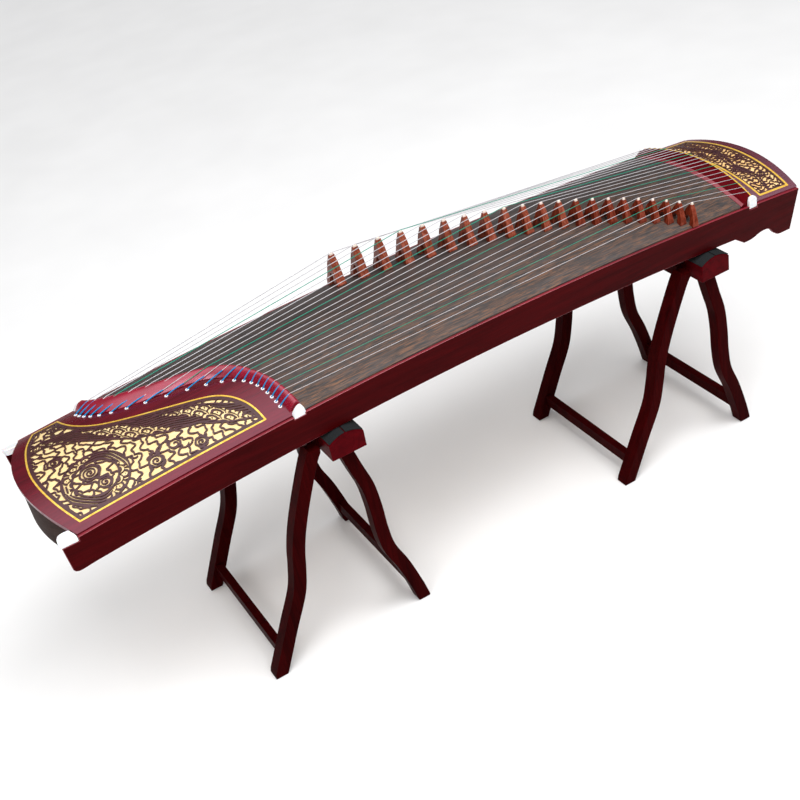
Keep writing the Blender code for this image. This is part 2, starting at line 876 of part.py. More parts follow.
def build_back():
    """The arched back board with its two sound holes."""
    bm = bmesh.new()
    stations = [-0.799 + (0.7550 + 0.799) * k / 14 for k in range(15)]
    rows = []
    for x in stations:
        low = underside(x) + 0.0004
        high = low + BACK_THICKNESS
        ring = ((-INNER_HALF, low), (INNER_HALF, low), (INNER_HALF, high), (-INNER_HALF, high))
        rows.append([(x, y, z) for y, z in ring])
    rails(bm, rows)
    board = add_object("back_board", finish_mesh("back_board", bm), PLAIN_WOOD)
    inside = TAIL_OVERHANG + TAIL_WALL + GAP
    outline = [(tail_edge(y) + inside, y) for y in even(0.175, 16)]
    outline += [(-0.9, 0.175), (-0.9, -0.175)]
    boolean(board, cutter("tail_arc", prism(outline, 0.4, 0.6)), "DIFFERENCE")
    for number, (x, length) in enumerate(((-0.53, 0.05), (0.16, 0.09))):
        outline = []
        for k in range(24):
            angle = 2 * math.pi * k / 24
            shift = math.copysign(length / 2, math.cos(angle))
            outline.append((x + shift + 0.035 * math.cos(angle), 0.035 * math.sin(angle)))
        boolean(board, cutter(f"sound_hole_{number}", prism(outline, 0.4, 0.6)), "DIFFERENCE")


def build_ribs():
    """Two arched ribs under the soundboard, each standing on the back board with two posts."""
    thick = 0.006
    for side, x in (("left", -0.20), ("right", 0.34)):
        name = f"inner_rib_{side}"

        def section(y, x=x):
            high = min(top_z(x - thick, y), top_z(x + thick, y)) - BOARD_THICKNESS - GAP
            low = high - 0.016
            return [(x - thick, high), (x + thick, high), (x + thick, low), (x - thick, low)]

        rib = across(name, section, even(0.160, 10), PLAIN_WOOD)
        posts = bmesh.new()
        low = max(underside(x - thick), underside(x + thick)) + BACK_THICKNESS + 0.0008
        for y in (-0.075, 0.075):
            high = top_z(x, y) - BOARD_THICKNESS - 0.012
            box(posts, (x, y, (low + high) / 2), (0.010, 0.014, high - low))
        join_to(rib, f"{name}_posts", posts)


# ---------------------------------------------------------------- trestles


def leg_outline(centre_line, x0, height):
    """Both edges of an S-curved leg, offset from its smooth centre line."""
    line = smooth([(x0 + dx, share * height) for dx, share in centre_line], 2)
    left = []
    right = []
    for k, point in enumerate(line):
        before = line[max(k - 1, 0)]
        after = line[min(k + 1, len(line) - 1)]
        way = (after - before).normalized()
        normal = Vector((-way.y, way.x))
        left.append(point + normal * LEG_WIDTH / 2)
        right.append(point - normal * LEG_WIDTH / 2)
    for edge in (left, right):
        edge[0].y = 0.0
        edge[-1].y = line[-1].y
    return left + right[::-1]


def centre_at(centre_line, share):
    for (x0, s0), (x1, s1) in zip(centre_line, centre_line[1:]):
        if s0 <= share <= s1:
            return x0 + (x1 - x0) * (share - s0) / (s1 - s0)
    return centre_line[-1][0]


def build_pad(name, beam_x, arch):
    """A felt pad over the beam's arched top, with a groove along its crest."""
    reach = BEAM_WIDTH / 2 - 0.004
    groove = PAD_GROOVE / 2
    side = [groove + (reach - groove) * k / 4 for k in range(5)]
    xs = [-s for s in side[::-1]] + side
    lower = [(beam_x + dx, arch(beam_x + dx) + 1.5 * GAP) for dx in xs]
    upper = [(beam_x + dx, arch(beam_x + dx) + PAD_THICKNESS) for dx in xs]
    cut = PAD_THICKNESS - 0.0018
    middle = [(beam_x + groove - 0.0002, arch(beam_x) + cut), (beam_x - groove + 0.0002, arch(beam_x) + cut)]
    top = upper[:4:-1] + middle + upper[4::-1]
    add_object(name, finish_mesh(name, prism(lower + top, -0.187, 0.187, axis="Y")), PAD)


def build_trestle(side, x0):
    """One trestle: an arched beam on a fixed leg frame, and a leg frame hinged to it."""
    name = f"{side}_trestle"
    beam_x = x0 + BEAM_OFFSET
    low_x, high_x = beam_x - BEAM_WIDTH / 2, beam_x + BEAM_WIDTH / 2
    crest = min(underside(beam_x + dx) for dx in (-0.02, 0.0, 0.02)) - PAD_THICKNESS - 2 * GAP
    bottom = crest - BEAM_ARCH - BEAM_EDGE_HEIGHT

    def arch(x):
        return crest - BEAM_ARCH * ((x - beam_x) / (BEAM_WIDTH / 2)) ** 2

    beam = [(low_x, bottom), (high_x, bottom)]
    for k in range(11):
        x = high_x - BEAM_WIDTH * k / 10
        beam.append((x, arch(x)))
    mesh = finish_mesh(name, prism(beam, -BEAM_HALF_LENGTH, BEAM_HALF_LENGTH, axis="Y"))
    add_object(f"{name}_beam", mesh, LACQUER)
    build_pad(f"{name}_pad", beam_x, arch)

    leg_height = bottom - GAP
    inner_y = LEG_OUTER_Y - LEG_DEPTH
    for place, sign in (("near", -1), ("far", 1)):
        low, high = sorted((sign * inner_y, sign * LEG_OUTER_Y))
        for kind, centre_line in (("fixed", FIXED_LEG), ("folding", FOLDING_LEG)):
            part = f"{name}_{kind}_leg_{place}"
            outline = leg_outline(centre_line, x0, leg_height)
            add_object(part, finish_mesh(part, prism(outline, low, high, axis="Y")), LACQUER)

    span = 2 * (inner_y - GAP)
    for kind, centre_line in (("fixed", FIXED_LEG), ("folding", FOLDING_LEG)):
        bar = bmesh.new()
        x = x0 + centre_at(centre_line, STRETCHER_Z / leg_height)
        box(bar, (x, 0, STRETCHER_Z), (STRETCHER_THICKNESS, span, STRETCHER_HEIGHT))
        part = f"{name}_{kind}_stretcher"
        add_object(part, finish_mesh(part, bar), LACQUER)
    rail = bmesh.new()
    height = BEAM_EDGE_HEIGHT - 0.010
    centre = (low_x - GAP - RAIL_WIDTH / 2, 0, bottom + 0.003 + height / 2)
    box(rail, centre, (RAIL_WIDTH, span, height))
    part = f"{name}_folding_rail"
    add_object(part, finish_mesh(part, rail), LACQUER)
    build_hinge(f"{name}_hinge", low_x, bottom)


def build_hinge(name, axis_x, bottom):
    """The hinge's pin and knuckle below the joint, with its leaf under the beam."""
    hinge = bmesh.new()
    axis_z = bottom - HINGE_RADIUS - 2 * GAP
    half = 0.045
    rod(hinge, (axis_x, -half, axis_z), (axis_x, half, axis_z), HINGE_RADIUS)
    obj = add_object(name, finish_mesh(name, hinge), STEEL)
    leaf = bmesh.new()
    thick = 0.0016
    box(leaf, (axis_x + 0.0115, 0, bottom - GAP - thick / 2), (0.0210, 2 * half - 0.0006, thick))
    join_to(obj, f"{name}_leaf", leaf)


# ---------------------------------------------------------------- build


clear_scene()
PARTS = new_collection("guzheng")
CUTTERS = new_collection("cutters")

build_tail()
build_tail_bridge()
build_head()
build_pin_block()
build_sides()
build_back()
build_ribs()
build_corner_caps()
build_strings()
for number in range(STRINGS):
    build_bridge(number)
for trestle_side, trestle_x in TRESTLES.items():
    build_trestle(trestle_side, trestle_x)
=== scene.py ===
import math

import bmesh
import bpy
import numpy as np
from mathutils import Matrix, Vector


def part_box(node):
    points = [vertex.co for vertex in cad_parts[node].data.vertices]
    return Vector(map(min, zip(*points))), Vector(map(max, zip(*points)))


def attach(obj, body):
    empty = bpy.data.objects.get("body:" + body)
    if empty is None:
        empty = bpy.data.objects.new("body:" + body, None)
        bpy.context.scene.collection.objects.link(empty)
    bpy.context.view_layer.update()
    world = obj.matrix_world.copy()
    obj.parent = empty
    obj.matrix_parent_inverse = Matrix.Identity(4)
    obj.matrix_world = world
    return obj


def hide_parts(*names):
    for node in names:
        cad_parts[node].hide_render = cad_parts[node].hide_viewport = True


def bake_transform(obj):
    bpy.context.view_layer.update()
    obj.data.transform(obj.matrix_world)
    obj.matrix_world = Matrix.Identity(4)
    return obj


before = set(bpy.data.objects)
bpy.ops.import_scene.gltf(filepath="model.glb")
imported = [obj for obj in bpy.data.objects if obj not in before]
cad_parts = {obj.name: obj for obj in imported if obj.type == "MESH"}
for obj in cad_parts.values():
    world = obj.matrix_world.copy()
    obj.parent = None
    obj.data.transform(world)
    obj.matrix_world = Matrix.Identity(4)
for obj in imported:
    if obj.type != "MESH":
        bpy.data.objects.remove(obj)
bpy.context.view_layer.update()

# ---- sizes, in metres

GAP = 0.0003
HALF_WIDTH = 0.171
SIDE_THICKNESS = 0.006
INNER_HALF = HALF_WIDTH - SIDE_THICKNESS - GAP
SIDE_HEIGHT = 0.0618
END_TOP_Z = 0.514
ARCH_RISE = 0.0366
ARCH_MIDDLE_X = 0.0085
ARCH_HALF_LENGTH = 0.784
CROWN = 0.028
BOARD_THICKNESS = 0.007
BOARD_HEAD_X = 0.647
RIDGE_HEIGHT = 0.015
LINE_WIDTH = 0.0032
STRINGS = 21
GREEN_STRINGS = (2, 7, 12, 17)
FIRST_BRIDGE_X = 0.536
UPRIGHT_BRIDGES_FROM = 14
# Number of bridges at the head end that take darker wood, as painted shade.
SHADED_BRIDGES = 9
LEG_WIDTH = 0.026
LEG_DEPTH = 0.028
LEG_OUTER_Y = 0.1695
BEAM_ARCH = 0.012
PAD_THICKNESS = 0.003
TRESTLES = {"left": -0.357, "right": 0.488}
BOARD_EDGE = 0.1647
CAP_OUTER_Y = 0.1708
PIN_X = 0.703
PIN_DEPTH = 0.0295
LID_HALF_WIDTH = 0.157
HEAD_NOTCH = (0.6625, 0.6833)
TAIL_NOTCHES = {"near": (-0.3665, -0.3445), "far": (-0.6605, -0.6385)}
SIDES = (("near", -1), ("far", 1))


# ---- curves of the top


def side_top(x):
    return END_TOP_Z + ARCH_RISE * (1 - ((x - ARCH_MIDDLE_X) / ARCH_HALF_LENGTH) ** 2)


def top_z(x, y):
    return side_top(x) + CROWN * (1 - (y / HALF_WIDTH) ** 2)


def underside(x):
    return side_top(x) - SIDE_HEIGHT


def tail_edge(y):
    return -0.8155 + 0.0475 * (y / HALF_WIDTH) ** 2


def head_edge(y):
    return 0.8155 - 0.021 * (y / HALF_WIDTH) ** 2


def head_ridge(y):
    return 0.674 + 0.014 * (1 - (y / HALF_WIDTH) ** 2)


def smooth(points, steps):
    """Catmull-Rom curve through the points."""
    pts = [Vector(p) for p in points]
    last = len(pts) - 1
    result = []
    for i in range(last):
        a, b, c, d = pts[max(i - 1, 0)], pts[i], pts[i + 1], pts[min(i + 2, last)]
        for s in range(steps):
            t = s / steps
            bend = (2 * a - 5 * b + 4 * c - d) * t**2 + (3 * b - a - 3 * c + d) * t**3
            result.append(0.5 * (2 * b + (c - a) * t + bend))
    return result + [pts[-1]]


# ---- materials


class Look:
    """A Principled material with short helpers for its node graph."""

    def __init__(self, name, roughness, metallic=0.0):
        self.material = bpy.data.materials.new(name)
        self.material.use_nodes = True
        self.tree = self.material.node_tree
        self.shader = self.tree.nodes["Principled BSDF"]
        self.fill(self.shader, Roughness=roughness, Metallic=metallic)

    def fill(self, node, **values):
        """Sets a node's sockets by name, with _ for a space."""
        for key, value in values.items():
            node.inputs[key.replace("_", " ")].default_value = value

    def set(self, **values):
        self.fill(self.shader, **values)

    def gloss(self, level, tint=None):
        self.set(Specular_IOR_Level=level)
        if tint:
            self.set(Specular_Tint=(*tint, 1))

    def add(self, kind, **values):
        node = self.tree.nodes.new(kind)
        for key, value in values.items():
            setattr(node, key, value)
        return node

    def link(self, source, target):
        self.tree.links.new(source, target)

    def coordinates(self, scale):
        place = self.add("ShaderNodeTexCoord")
        mapping = self.add("ShaderNodeMapping")
        self.fill(mapping, Scale=scale)
        self.link(place.outputs["Object"], mapping.inputs["Vector"])
        return mapping.outputs["Vector"]

    def noise(self, stretch, scale, detail=4.0, roughness=0.6, distortion=0.0):
        node = self.add("ShaderNodeTexNoise")
        self.fill(node, Scale=scale, Detail=detail, Roughness=roughness, Distortion=distortion)
        self.link(self.coordinates(stretch), node.inputs["Vector"])
        return node.outputs["Fac"]

    def waves(self, stretch, scale, distortion=0.0):
        node = self.add("ShaderNodeTexWave", wave_type="BANDS", bands_direction="X")
        self.fill(node, Scale=scale, Distortion=distortion)
        self.link(self.coordinates(stretch), node.inputs["Vector"])
        return node.outputs["Fac"]

    def ramp(self, factor, stops):
        node = self.add("ShaderNodeValToRGB")
        marks = node.color_ramp.elements
        while len(marks) < len(stops):
            marks.new(0.5)
        for mark, (position, colour) in zip(marks, stops):
            mark.position = position
            mark.color = (*colour, 1)
        self.link(factor, node.inputs["Fac"])
        return node.outputs["Color"]

    def mix(self, factor, a, b):
        node = self.add("ShaderNodeMix", data_type="RGBA")
        for socket, value in ((node.inputs[0], factor), (node.inputs[6], a), (node.inputs[7], b)):
            if isinstance(value, bpy.types.NodeSocket):
                self.link(value, socket)
            elif isinstance(value, tuple):
                socket.default_value = (*value, 1)
            else:
                socket.default_value = value
        return node.outputs[2]

    def span(self, value, low, high, to_low=0.0, to_high=1.0):
        node = self.add("ShaderNodeMapRange")
        self.fill(node, From_Min=low, From_Max=high, To_Min=to_low, To_Max=to_high)
        self.link(value, node.inputs["Value"])
        return node.outputs["Result"]

    def bump(self, height, strength, distance):
        node = self.add("ShaderNodeBump")
        self.fill(node, Strength=strength, Distance=distance)
        self.link(height, node.inputs["Height"])
        self.link(node.outputs["Normal"], self.shader.inputs["Normal"])

    def finish(self, colour, height, bump, rough=None):
        """Links the colour, the bump and, as (low, high), a roughness that follows the height."""
        self.link(colour, self.shader.inputs["Base Color"])
        if rough:
            self.link(self.span(height, 0.3, 0.7, *rough), self.shader.inputs["Roughness"])
        self.bump(height, *bump)
        return self


GRAIN = {"x": (1.2, 22, 22), "y": (22, 1.2, 22), "z": (22, 22, 1.2)}


def lacquer(name, axis, dark, bright, gloss, pores, sheen, tint, ior=1.5):
    """Glossy lacquer over hardwood: fine grain, darker pores and a tinted gloss."""
    look = Look(name, gloss)
    grain = look.noise(GRAIN[axis], 3.0, 6.0, 0.65, 0.6)
    fine = look.noise(GRAIN[axis], 22.0, 3.0, 0.5)
    broad = look.noise((1.5, 1.5, 1.5), 2.0, 2.0)
    tone = look.ramp(grain, ((0.32, dark), (0.70, bright)))
    tone = look.mix(look.span(fine, 0.35, 0.62, pores, 0.0), tone, tuple(0.35 * c for c in dark))
    tone = look.mix(look.span(broad, 0.35, 0.7, 0.0, 0.35), tone, bright)
    look.gloss(sheen, tint)
    look.set(IOR=ior)
    return look.finish(tone, fine, (0.10, 0.0004), (gloss + 0.08, gloss))


def board_wood():
    """The soundboard: charred softwood with dark growth lines and warm streaks."""
    look = Look("soundboard_wood", 0.42)
    lines = look.noise((2.4, 52, 52), 5.0, 8.0, 0.7, 0.35)
    streaks = look.noise((9, 130, 130), 3.2, 4.0, 0.6, 0.8)
    broad = look.noise((1.0, 5, 5), 1.6, 2.0)
    fine = look.noise((6, 160, 160), 4.0, 3.0)
    burnt, brown, worn = (0.009, 0.008, 0.008), (0.040, 0.034, 0.033), (0.110, 0.092, 0.088)
    tone = look.ramp(lines, ((0.32, burnt), (0.52, brown), (0.74, worn)))
    place = look.add("ShaderNodeSeparateXYZ")
    look.link(look.add("ShaderNodeTexCoord").outputs["Object"], place.inputs["Vector"])
    near = look.span(place.outputs["Y"], 0.06, -0.16)
    warm = look.add("ShaderNodeMath", operation="MULTIPLY")
    look.link(look.span(streaks, 0.46, 0.64, 0.0, 0.90), warm.inputs[0])
    look.link(look.span(near, 0.0, 1.0, 0.25, 1.0), warm.inputs[1])
    tone = look.mix(warm.outputs[0], tone, (0.20, 0.090, 0.044))
    tone = look.mix(look.span(broad, 0.4, 0.65, 0.0, 0.35), tone, (0.070, 0.064, 0.066))
    look.gloss(0.35)
    return look.finish(tone, fine, (0.25, 0.0004), (0.34, 0.5))


def bridge_wood(name, dark, middle, pale):
    """Oiled red hardwood with upright grain and pale growth streaks."""
    look = Look(name, 0.30)
    grain = look.noise((30, 30, 4), 5.0, 7.0, 0.65, 0.5)
    fine = look.noise((140, 140, 14), 3.0, 3.0)
    tone = look.ramp(grain, ((0.30, dark), (0.50, middle), (0.72, pale)))
    tone = look.mix(look.span(fine, 0.38, 0.60, 0.5, 0.0), tone, (0.06, 0.010, 0.005))
    look.gloss(0.25, (1.0, 0.45, 0.30))
    return look.finish(tone, fine, (0.25, 0.0003), (0.42, 0.24))


def carved_wood():
    look = Look("carved_wood", 0.36)
    grain = look.noise((4, 60, 60), 4.0, 6.0, 0.6, 0.4)
    fine = look.noise((1, 1, 1), 900.0, 2.0)
    tone = look.ramp(grain, ((0.3, (0.030, 0.008, 0.010)), (0.75, (0.090, 0.026, 0.032))))
    look.set(Coat_Weight=0.25, Coat_Roughness=0.15)
    return look.finish(tone, fine, (0.15, 0.0002), (0.46, 0.30))


def ground_veneer(name, pale, warm):
    """Pale veneer behind the carving, with a faint figure and a darker haze."""
    look = Look(name, 0.55)
    figure = look.noise((9, 90, 90), 3.0, 5.0, 0.6, 0.5)
    broad = look.noise((1, 1, 1), 14.0, 3.0)
    tone = look.ramp(figure, ((0.30, warm), (0.65, pale)))
    tone = look.mix(look.span(broad, 0.40, 0.70, 0.0, 0.45), tone, warm)
    return look.finish(tone, figure, (0.1, 0.0002))


def gold_line():
    look = Look("gold_line", 0.30, 0.35)
    worn = look.noise((1, 1, 1), 130.0, 4.0)
    deep, middle, pale = (0.72, 0.40, 0.045), (0.95, 0.63, 0.10), (1.0, 0.80, 0.30)
    tone = look.ramp(worn, ((0.35, deep), (0.60, middle), (0.85, pale)))
    return look.finish(tone, worn, (0.12, 0.0002), (0.42, 0.22))


def bone_white(name, shade, pale):
    look = Look(name, 0.28)
    veins = look.noise((30, 30, 90), 5.0, 5.0, 0.6, 0.8)
    tone = look.ramp(veins, ((0.30, shade), (0.60, pale)))
    look.set(Subsurface_Weight=0.12, Subsurface_Scale=0.004)
    return look.finish(tone, veins, (0.06, 0.0002), (0.36, 0.22))


def wound_string(name, tone, shade, metallic):
    """Nylon-wound string: close turns across the string, slightly uneven."""
    look = Look(name, 0.34, metallic)
    turns = look.waves((1, 0, 0), 380.0)
    uneven = look.noise((1, 1, 1), 60.0, 2.0)
    colour = look.ramp(turns, ((0.0, shade), (0.6, tone)))
    colour = look.mix(look.span(uneven, 0.35, 0.7, 0.0, 0.35), colour, shade)
    return look.finish(colour, turns, (0.3, 0.0002))


def blue_thread():
    look = Look("blue_thread", 0.5)
    turns = look.waves((1, 0.4, 0), 260.0)
    fuzz = look.noise((1, 1, 1), 700.0, 2.0)
    colour = look.ramp(turns, ((0.1, (0.0, 0.13, 0.36)), (0.8, (0.0, 0.29, 0.62))))
    colour = look.mix(look.span(fuzz, 0.4, 0.7, 0.0, 0.2), colour, (0.01, 0.40, 0.72))
    look.gloss(0.15)
    return look.finish(colour, turns, (0.5, 0.0003))


def raw_wood():
    look = Look("raw_wood", 0.6)
    grain = look.noise((1.6, 40, 40), 4.0, 7.0, 0.65, 0.5)
    dark, middle, pale = (0.26, 0.14, 0.065), (0.42, 0.26, 0.13), (0.52, 0.35, 0.19)
    tone = look.ramp(grain, ((0.30, dark), (0.55, middle), (0.75, pale)))
    return look.finish(tone, grain, (0.2, 0.0004), (0.68, 0.5))


def felt():
    look = Look("felt", 0.85)
    fibres = look.noise((1, 1, 1), 900.0, 4.0, 0.7)
    ribs = look.waves((1, 0.02, 1), 90.0, 0.6)
    tone = look.ramp(fibres, ((0.3, (0.007, 0.008, 0.009)), (0.75, (0.026, 0.030, 0.032))))
    tone = look.mix(look.span(ribs, 0.2, 0.9, 0.35, 0.0), tone, (0.012, 0.013, 0.014))
    look.gloss(0.1)
    return look.finish(tone, fibres, (0.5, 0.0006))


def brushed_metal(name, tone):
    look = Look(name, 0.32, 1.0)
    scratches = look.noise((300, 12, 300), 2.0, 4.0)
    colour = look.ramp(scratches, ((0.3, tuple(0.6 * c for c in tone)), (0.7, tone)))
    return look.finish(colour, scratches, (0.1, 0.0002), (0.45, 0.24))


def lacquers():
    """One lacquer for each kind of red part: grain axis, dark, bright, gloss, pores, sheen and tint."""
    deep, rose = (0.9, 0.16, 0.20), (1.0, 0.60, 0.72)
    kinds = {
        "plate": ("x", (0.055, 0.0006, 0.003), (0.140, 0.002, 0.009), 0.19, 0.3, 1.0, (1.0, 0.60, 0.75)),
        "side": ("x", (0.022, 0.0007, 0.0010), (0.062, 0.0014, 0.0022), 0.30, 0.3, 0.06, deep),
        # rim: brighter red for the edges of the sides and the nut's front, a painted highlight line
        "rim": ("x", (0.11, 0.004, 0.010), (0.24, 0.012, 0.024), 0.28, 0.1, 1.3, (1.0, 0.62, 0.66)),
        "wave": ("x", (0.16, 0.001, 0.008), (0.32, 0.003, 0.024), 0.22, 0.2, 1.5, rose),
        "nut": ("y", (0.050, 0.0004, 0.0015), (0.105, 0.0009, 0.004), 0.32, 0.2, 0.08, deep),
        "leg": ("z", (0.014, 0.0007, 0.0009), (0.044, 0.0014, 0.0018), 0.36, 0.45, 0.01, deep),
        "beam": ("y", (0.034, 0.0007, 0.002), (0.095, 0.0016, 0.004), 0.32, 0.25, 0.03, deep),
        "tail_face": ("y", (0.022, 0.012, 0.010), (0.060, 0.034, 0.028), 0.50, 0.4, 0.02, rose),
    }
    return [lacquer(f"{name}_lacquer", *values) for name, values in kinds.items()]


PLATE, SIDE, RIM_HIGHLIGHT, WAVE, NUT, LEG, BEAM, TAIL_FACE = lacquers()
HEAD_RED = (0.055, 0.001, 0.005), (0.130, 0.003, 0.012)
HEAD_PLATE = lacquer("head_plate_lacquer", "x", *HEAD_RED, 0.24, 0.3, 1.0, (1.0, 0.74, 0.92), 2.4)
SOUNDBOARD = board_wood()
BRIDGE = bridge_wood("bridge_wood", (0.085, 0.013, 0.005), (0.21, 0.032, 0.012), (0.35, 0.075, 0.032))
# Lighter copy of the bridge wood for the slanted leg faces: a painted highlight.
BRIDGE_LIT_SIDE = bridge_wood(
    "bridge_side_wood", (0.15, 0.028, 0.014), (0.32, 0.075, 0.042), (0.48, 0.150, 0.100)
)
# Darker copies of the bridge wood for the head-end bridges, painted shade; the second is again lighter for
# their slanted leg faces, painted highlight.
SHADED_BRIDGE = bridge_wood(
    "dark_bridge_wood", (0.060, 0.007, 0.003), (0.15, 0.018, 0.007), (0.26, 0.045, 0.020)
)
SHADED_BRIDGE_LIT_SIDE = bridge_wood(
    "dark_bridge_side_wood", (0.09, 0.012, 0.006), (0.20, 0.035, 0.018), (0.32, 0.085, 0.055)
)
CARVED = carved_wood()
TAIL_GROUND = ground_veneer("tail_ground_veneer", (0.88, 0.72, 0.40), (0.76, 0.52, 0.22))
LID_GROUND = ground_veneer("lid_ground_veneer", (0.86, 0.62, 0.30), (0.70, 0.38, 0.12))
GOLD = gold_line()
BONE = bone_white("bone", (0.72, 0.72, 0.72), (0.84, 0.84, 0.86))
TIP = bone_white("bridge_tip_bone", (0.62, 0.50, 0.43), (0.80, 0.68, 0.60))
SILVER = wound_string("silver_string", (0.74, 0.73, 0.76), (0.42, 0.41, 0.44), 0.25)
GREEN = wound_string("green_string", (0.0, 0.38, 0.25), (0.0, 0.19, 0.13), 0.0)
BLUE = blue_thread()
RAW = raw_wood()
FELT = felt()
HINGE_METAL = brushed_metal("hinge_metal", (0.55, 0.53, 0.50))
PIN_METAL = brushed_metal("pin_metal", (0.70, 0.70, 0.72))


# ---- piece helpers


def piece(name, mesh, look, body, replaces=()):
    """Links a mesh as a piece that rides on a body, with smooth shading between sharp edges."""
    obj = bpy.data.objects.new(name, mesh)
    bpy.context.scene.collection.objects.link(obj)
    if not mesh.materials:
        mesh.materials.append(look.material)
    mesh.shade_smooth()
    mesh.set_sharp_from_angle(angle=math.radians(32))
    if body:
        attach(obj, body)
    if replaces:
        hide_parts(*replaces)
    return obj


def to_mesh(name, bm):
    bmesh.ops.recalc_face_normals(bm, faces=bm.faces)
    mesh = bpy.data.meshes.new(name)
    bm.to_mesh(mesh)
    bm.free()
    return mesh


def paint(mesh, look, rule):
    """Gives another material to the faces for which rule(face) is true."""
    mesh.materials.append(look.material)
    for face in mesh.polygons:
        if rule(face):
            face.material_index = len(mesh.materials) - 1


def bevel(obj, width, segments=3, angle=35):
    modifier = obj.modifiers.new("edges", "BEVEL")
    modifier.width = width
    modifier.segments = segments
    modifier.limit_method = "ANGLE"
    modifier.angle_limit = math.radians(angle)


def rails(bm, rows, capped=True):
    """Adds a body through rows of points that all have the same count."""
    made = [[bm.verts.new(p) for p in row] for row in rows]
    count = len(made[0])
    for row, following in zip(made, made[1:]):
        for k in range(count):
            j = (k + 1) % count
            bm.faces.new((row[k], row[j], following[j], following[k]))
    if capped:
        bm.faces.new(made[0])
        bm.faces.new(made[-1])


def prism(bm, outline, low, high):
    """Adds a prism on an outline of (x, z) points, from y = low to y = high."""
    rails(bm, [[(p[0], y, p[1]) for p in outline] for y in (low, high)])


def tube(bm, route, radius):
    """Adds a tube of eight sides along a route of points."""
    route = [Vector(p) for p in route]
    rows = []
    for k, place in enumerate(route):
        way = (route[min(k + 1, len(route) - 1)] - route[max(k - 1, 0)]).normalized()
        side = way.cross(Vector((0, 0, 1))).normalized()
        rise = side.cross(way)
        row = []
        for s in range(8):
            angle = math.pi * s / 4
            row.append(place + radius * (math.cos(angle) * side + math.sin(angle) * rise))
        rows.append(row)
    rails(bm, rows)


def trace(xs, ys, values):
    """Points, faces and outline edges of the area where the sampled values are positive.

    The outline runs between the samples, where the values cross zero.
    """
    wood = values > 0
    points = []
    known = {}

    def corner(i, j):
        key = (i, j)
        if key not in known:
            known[key] = len(points)
            points.append((xs[i], ys[j]))
        return known[key]

    def crossing(a, b):
        key = (a, b) if a < b else (b, a)
        if key not in known:
            known[key] = len(points)
            share = values[a] / (values[a] - values[b])
            share = min(max(share, 0.02), 0.98)
            x = xs[a[0]] + (xs[b[0]] - xs[a[0]]) * share
            y = ys[a[1]] + (ys[b[1]] - ys[a[1]]) * share
            points.append((x, y))
        return known[key]

    faces = []
    rim = []
    filled = wood[:-1, :-1] | wood[1:, :-1] | wood[1:, 1:] | wood[:-1, 1:]
    for i, j in np.argwhere(filled):
        i, j = int(i), int(j)
        around = ((i, j), (i + 1, j), (i + 1, j + 1), (i, j + 1))
        face = []
        for k in range(4):
            a, b = around[k], around[(k + 1) % 4]
            if wood[a]:
                face.append(corner(*a))
            if wood[a] != wood[b]:
                face.append(crossing(a, b))
        faces.append(face)
        for n in range(4):
            if not wood[around[n]] or wood[around[(n + 1) % 4]]:
                continue
            m = (n + 1) % 4
            while not wood[around[(m + 1) % 4]]:
                m = (m + 1) % 4
            rim.append(tuple(crossing(around[k], around[(k + 1) % 4]) for k in (n, m)))
    return points, faces, rim


def contour_board(name, field, area, cell, thickness, lift=0.0):
    """A board of even thickness along the crowned top, wherever field(x, y) is positive."""
    x0, x1, y0, y1 = area
    xs = np.linspace(x0, x1, max(2, round((x1 - x0) / cell) + 1))
    ys = np.linspace(y0, y1, max(2, round((y1 - y0) / cell) + 1))
    points, faces, rim = trace(xs, ys, field(*np.meshgrid(xs, ys, indexing="ij")))
    flat = np.array(points)
    upper = np.column_stack((flat, top_z(flat[:, 0], flat[:, 1]) + lift))
    lower = upper - np.array((0, 0, thickness))
    count = len(points)
    everything = [tuple(f) for f in faces]
    everything += [tuple(v + count for v in reversed(f)) for f in faces]
    everything += [(b, a, a + count, b + count) for a, b in rim]
    mesh = bpy.data.meshes.new(name)
    mesh.from_pydata(np.vstack((upper, lower)).tolist(), [], everything)
    mesh.update()
    return mesh


def outline_field(outline):
    """Signed distance to a closed outline, positive inside."""
    points = np.array([(p[0], p[1]) for p in outline])
    following = np.roll(points, -1, axis=0)

    def field(x, y):
        nearest = np.full(x.shape, 1e9)
        inside = np.zeros(x.shape, bool)
        for (ax, ay), (bx, by) in zip(points, following):
            run_x, run_y = bx - ax, by - ay
            length = run_x**2 + run_y**2
            share = np.clip(((x - ax) * run_x + (y - ay) * run_y) / length, 0, 1)
            away = np.hypot(x - ax - share * run_x, y - ay - share * run_y)
            nearest = np.minimum(nearest, away)
            if ay != by:
                crosses = (ay > y) != (by > y)
                inside ^= crosses & (x < ax + (y - ay) * run_x / run_y)
        return np.where(inside, nearest, -nearest)

    return field


# ---- fretwork


def stroke(value, period, width):
    """Parallel strokes of one width: positive on the strokes, half a period apart from 0."""
    return 0.5 * width - np.abs(((value / period) % 1.0) - 0.5) * period


def meander(u, v, spacing, wave, reach, width):
    """Winding bars that step from side to side along v, with few and scattered ties."""
    first = np.floor(u / spacing)
    wood = np.full(u.shape, -1.0)
    for shift in (-1, 0, 1, 2):
        k = first + shift
        turn = 2 * math.pi * v / wave + 0.9 * np.sin(1.7 * k)
        step = np.tanh(2.4 * np.sin(turn))
        ripple = np.sin(2.3 * turn + 2.1 * k)
        bend = reach * (step + 0.30 * ripple)
        rate = 2.4 * (1 - step**2) * np.cos(turn) + 0.69 * np.cos(2.3 * turn + 2.1 * k)
        steep = 2 * math.pi * reach / wave * rate
        away = np.abs(u - k * spacing - bend) / np.sqrt(1 + steep**2)
        wood = np.maximum(wood, 0.5 * width - away)
    row = v + 2.0 * wave * np.sin(5.0 * first) + 0.15 * wave * np.sin(u / (0.3 * spacing))
    return np.maximum(wood, stroke(row, 3.1 * wave, 0.9 * width))


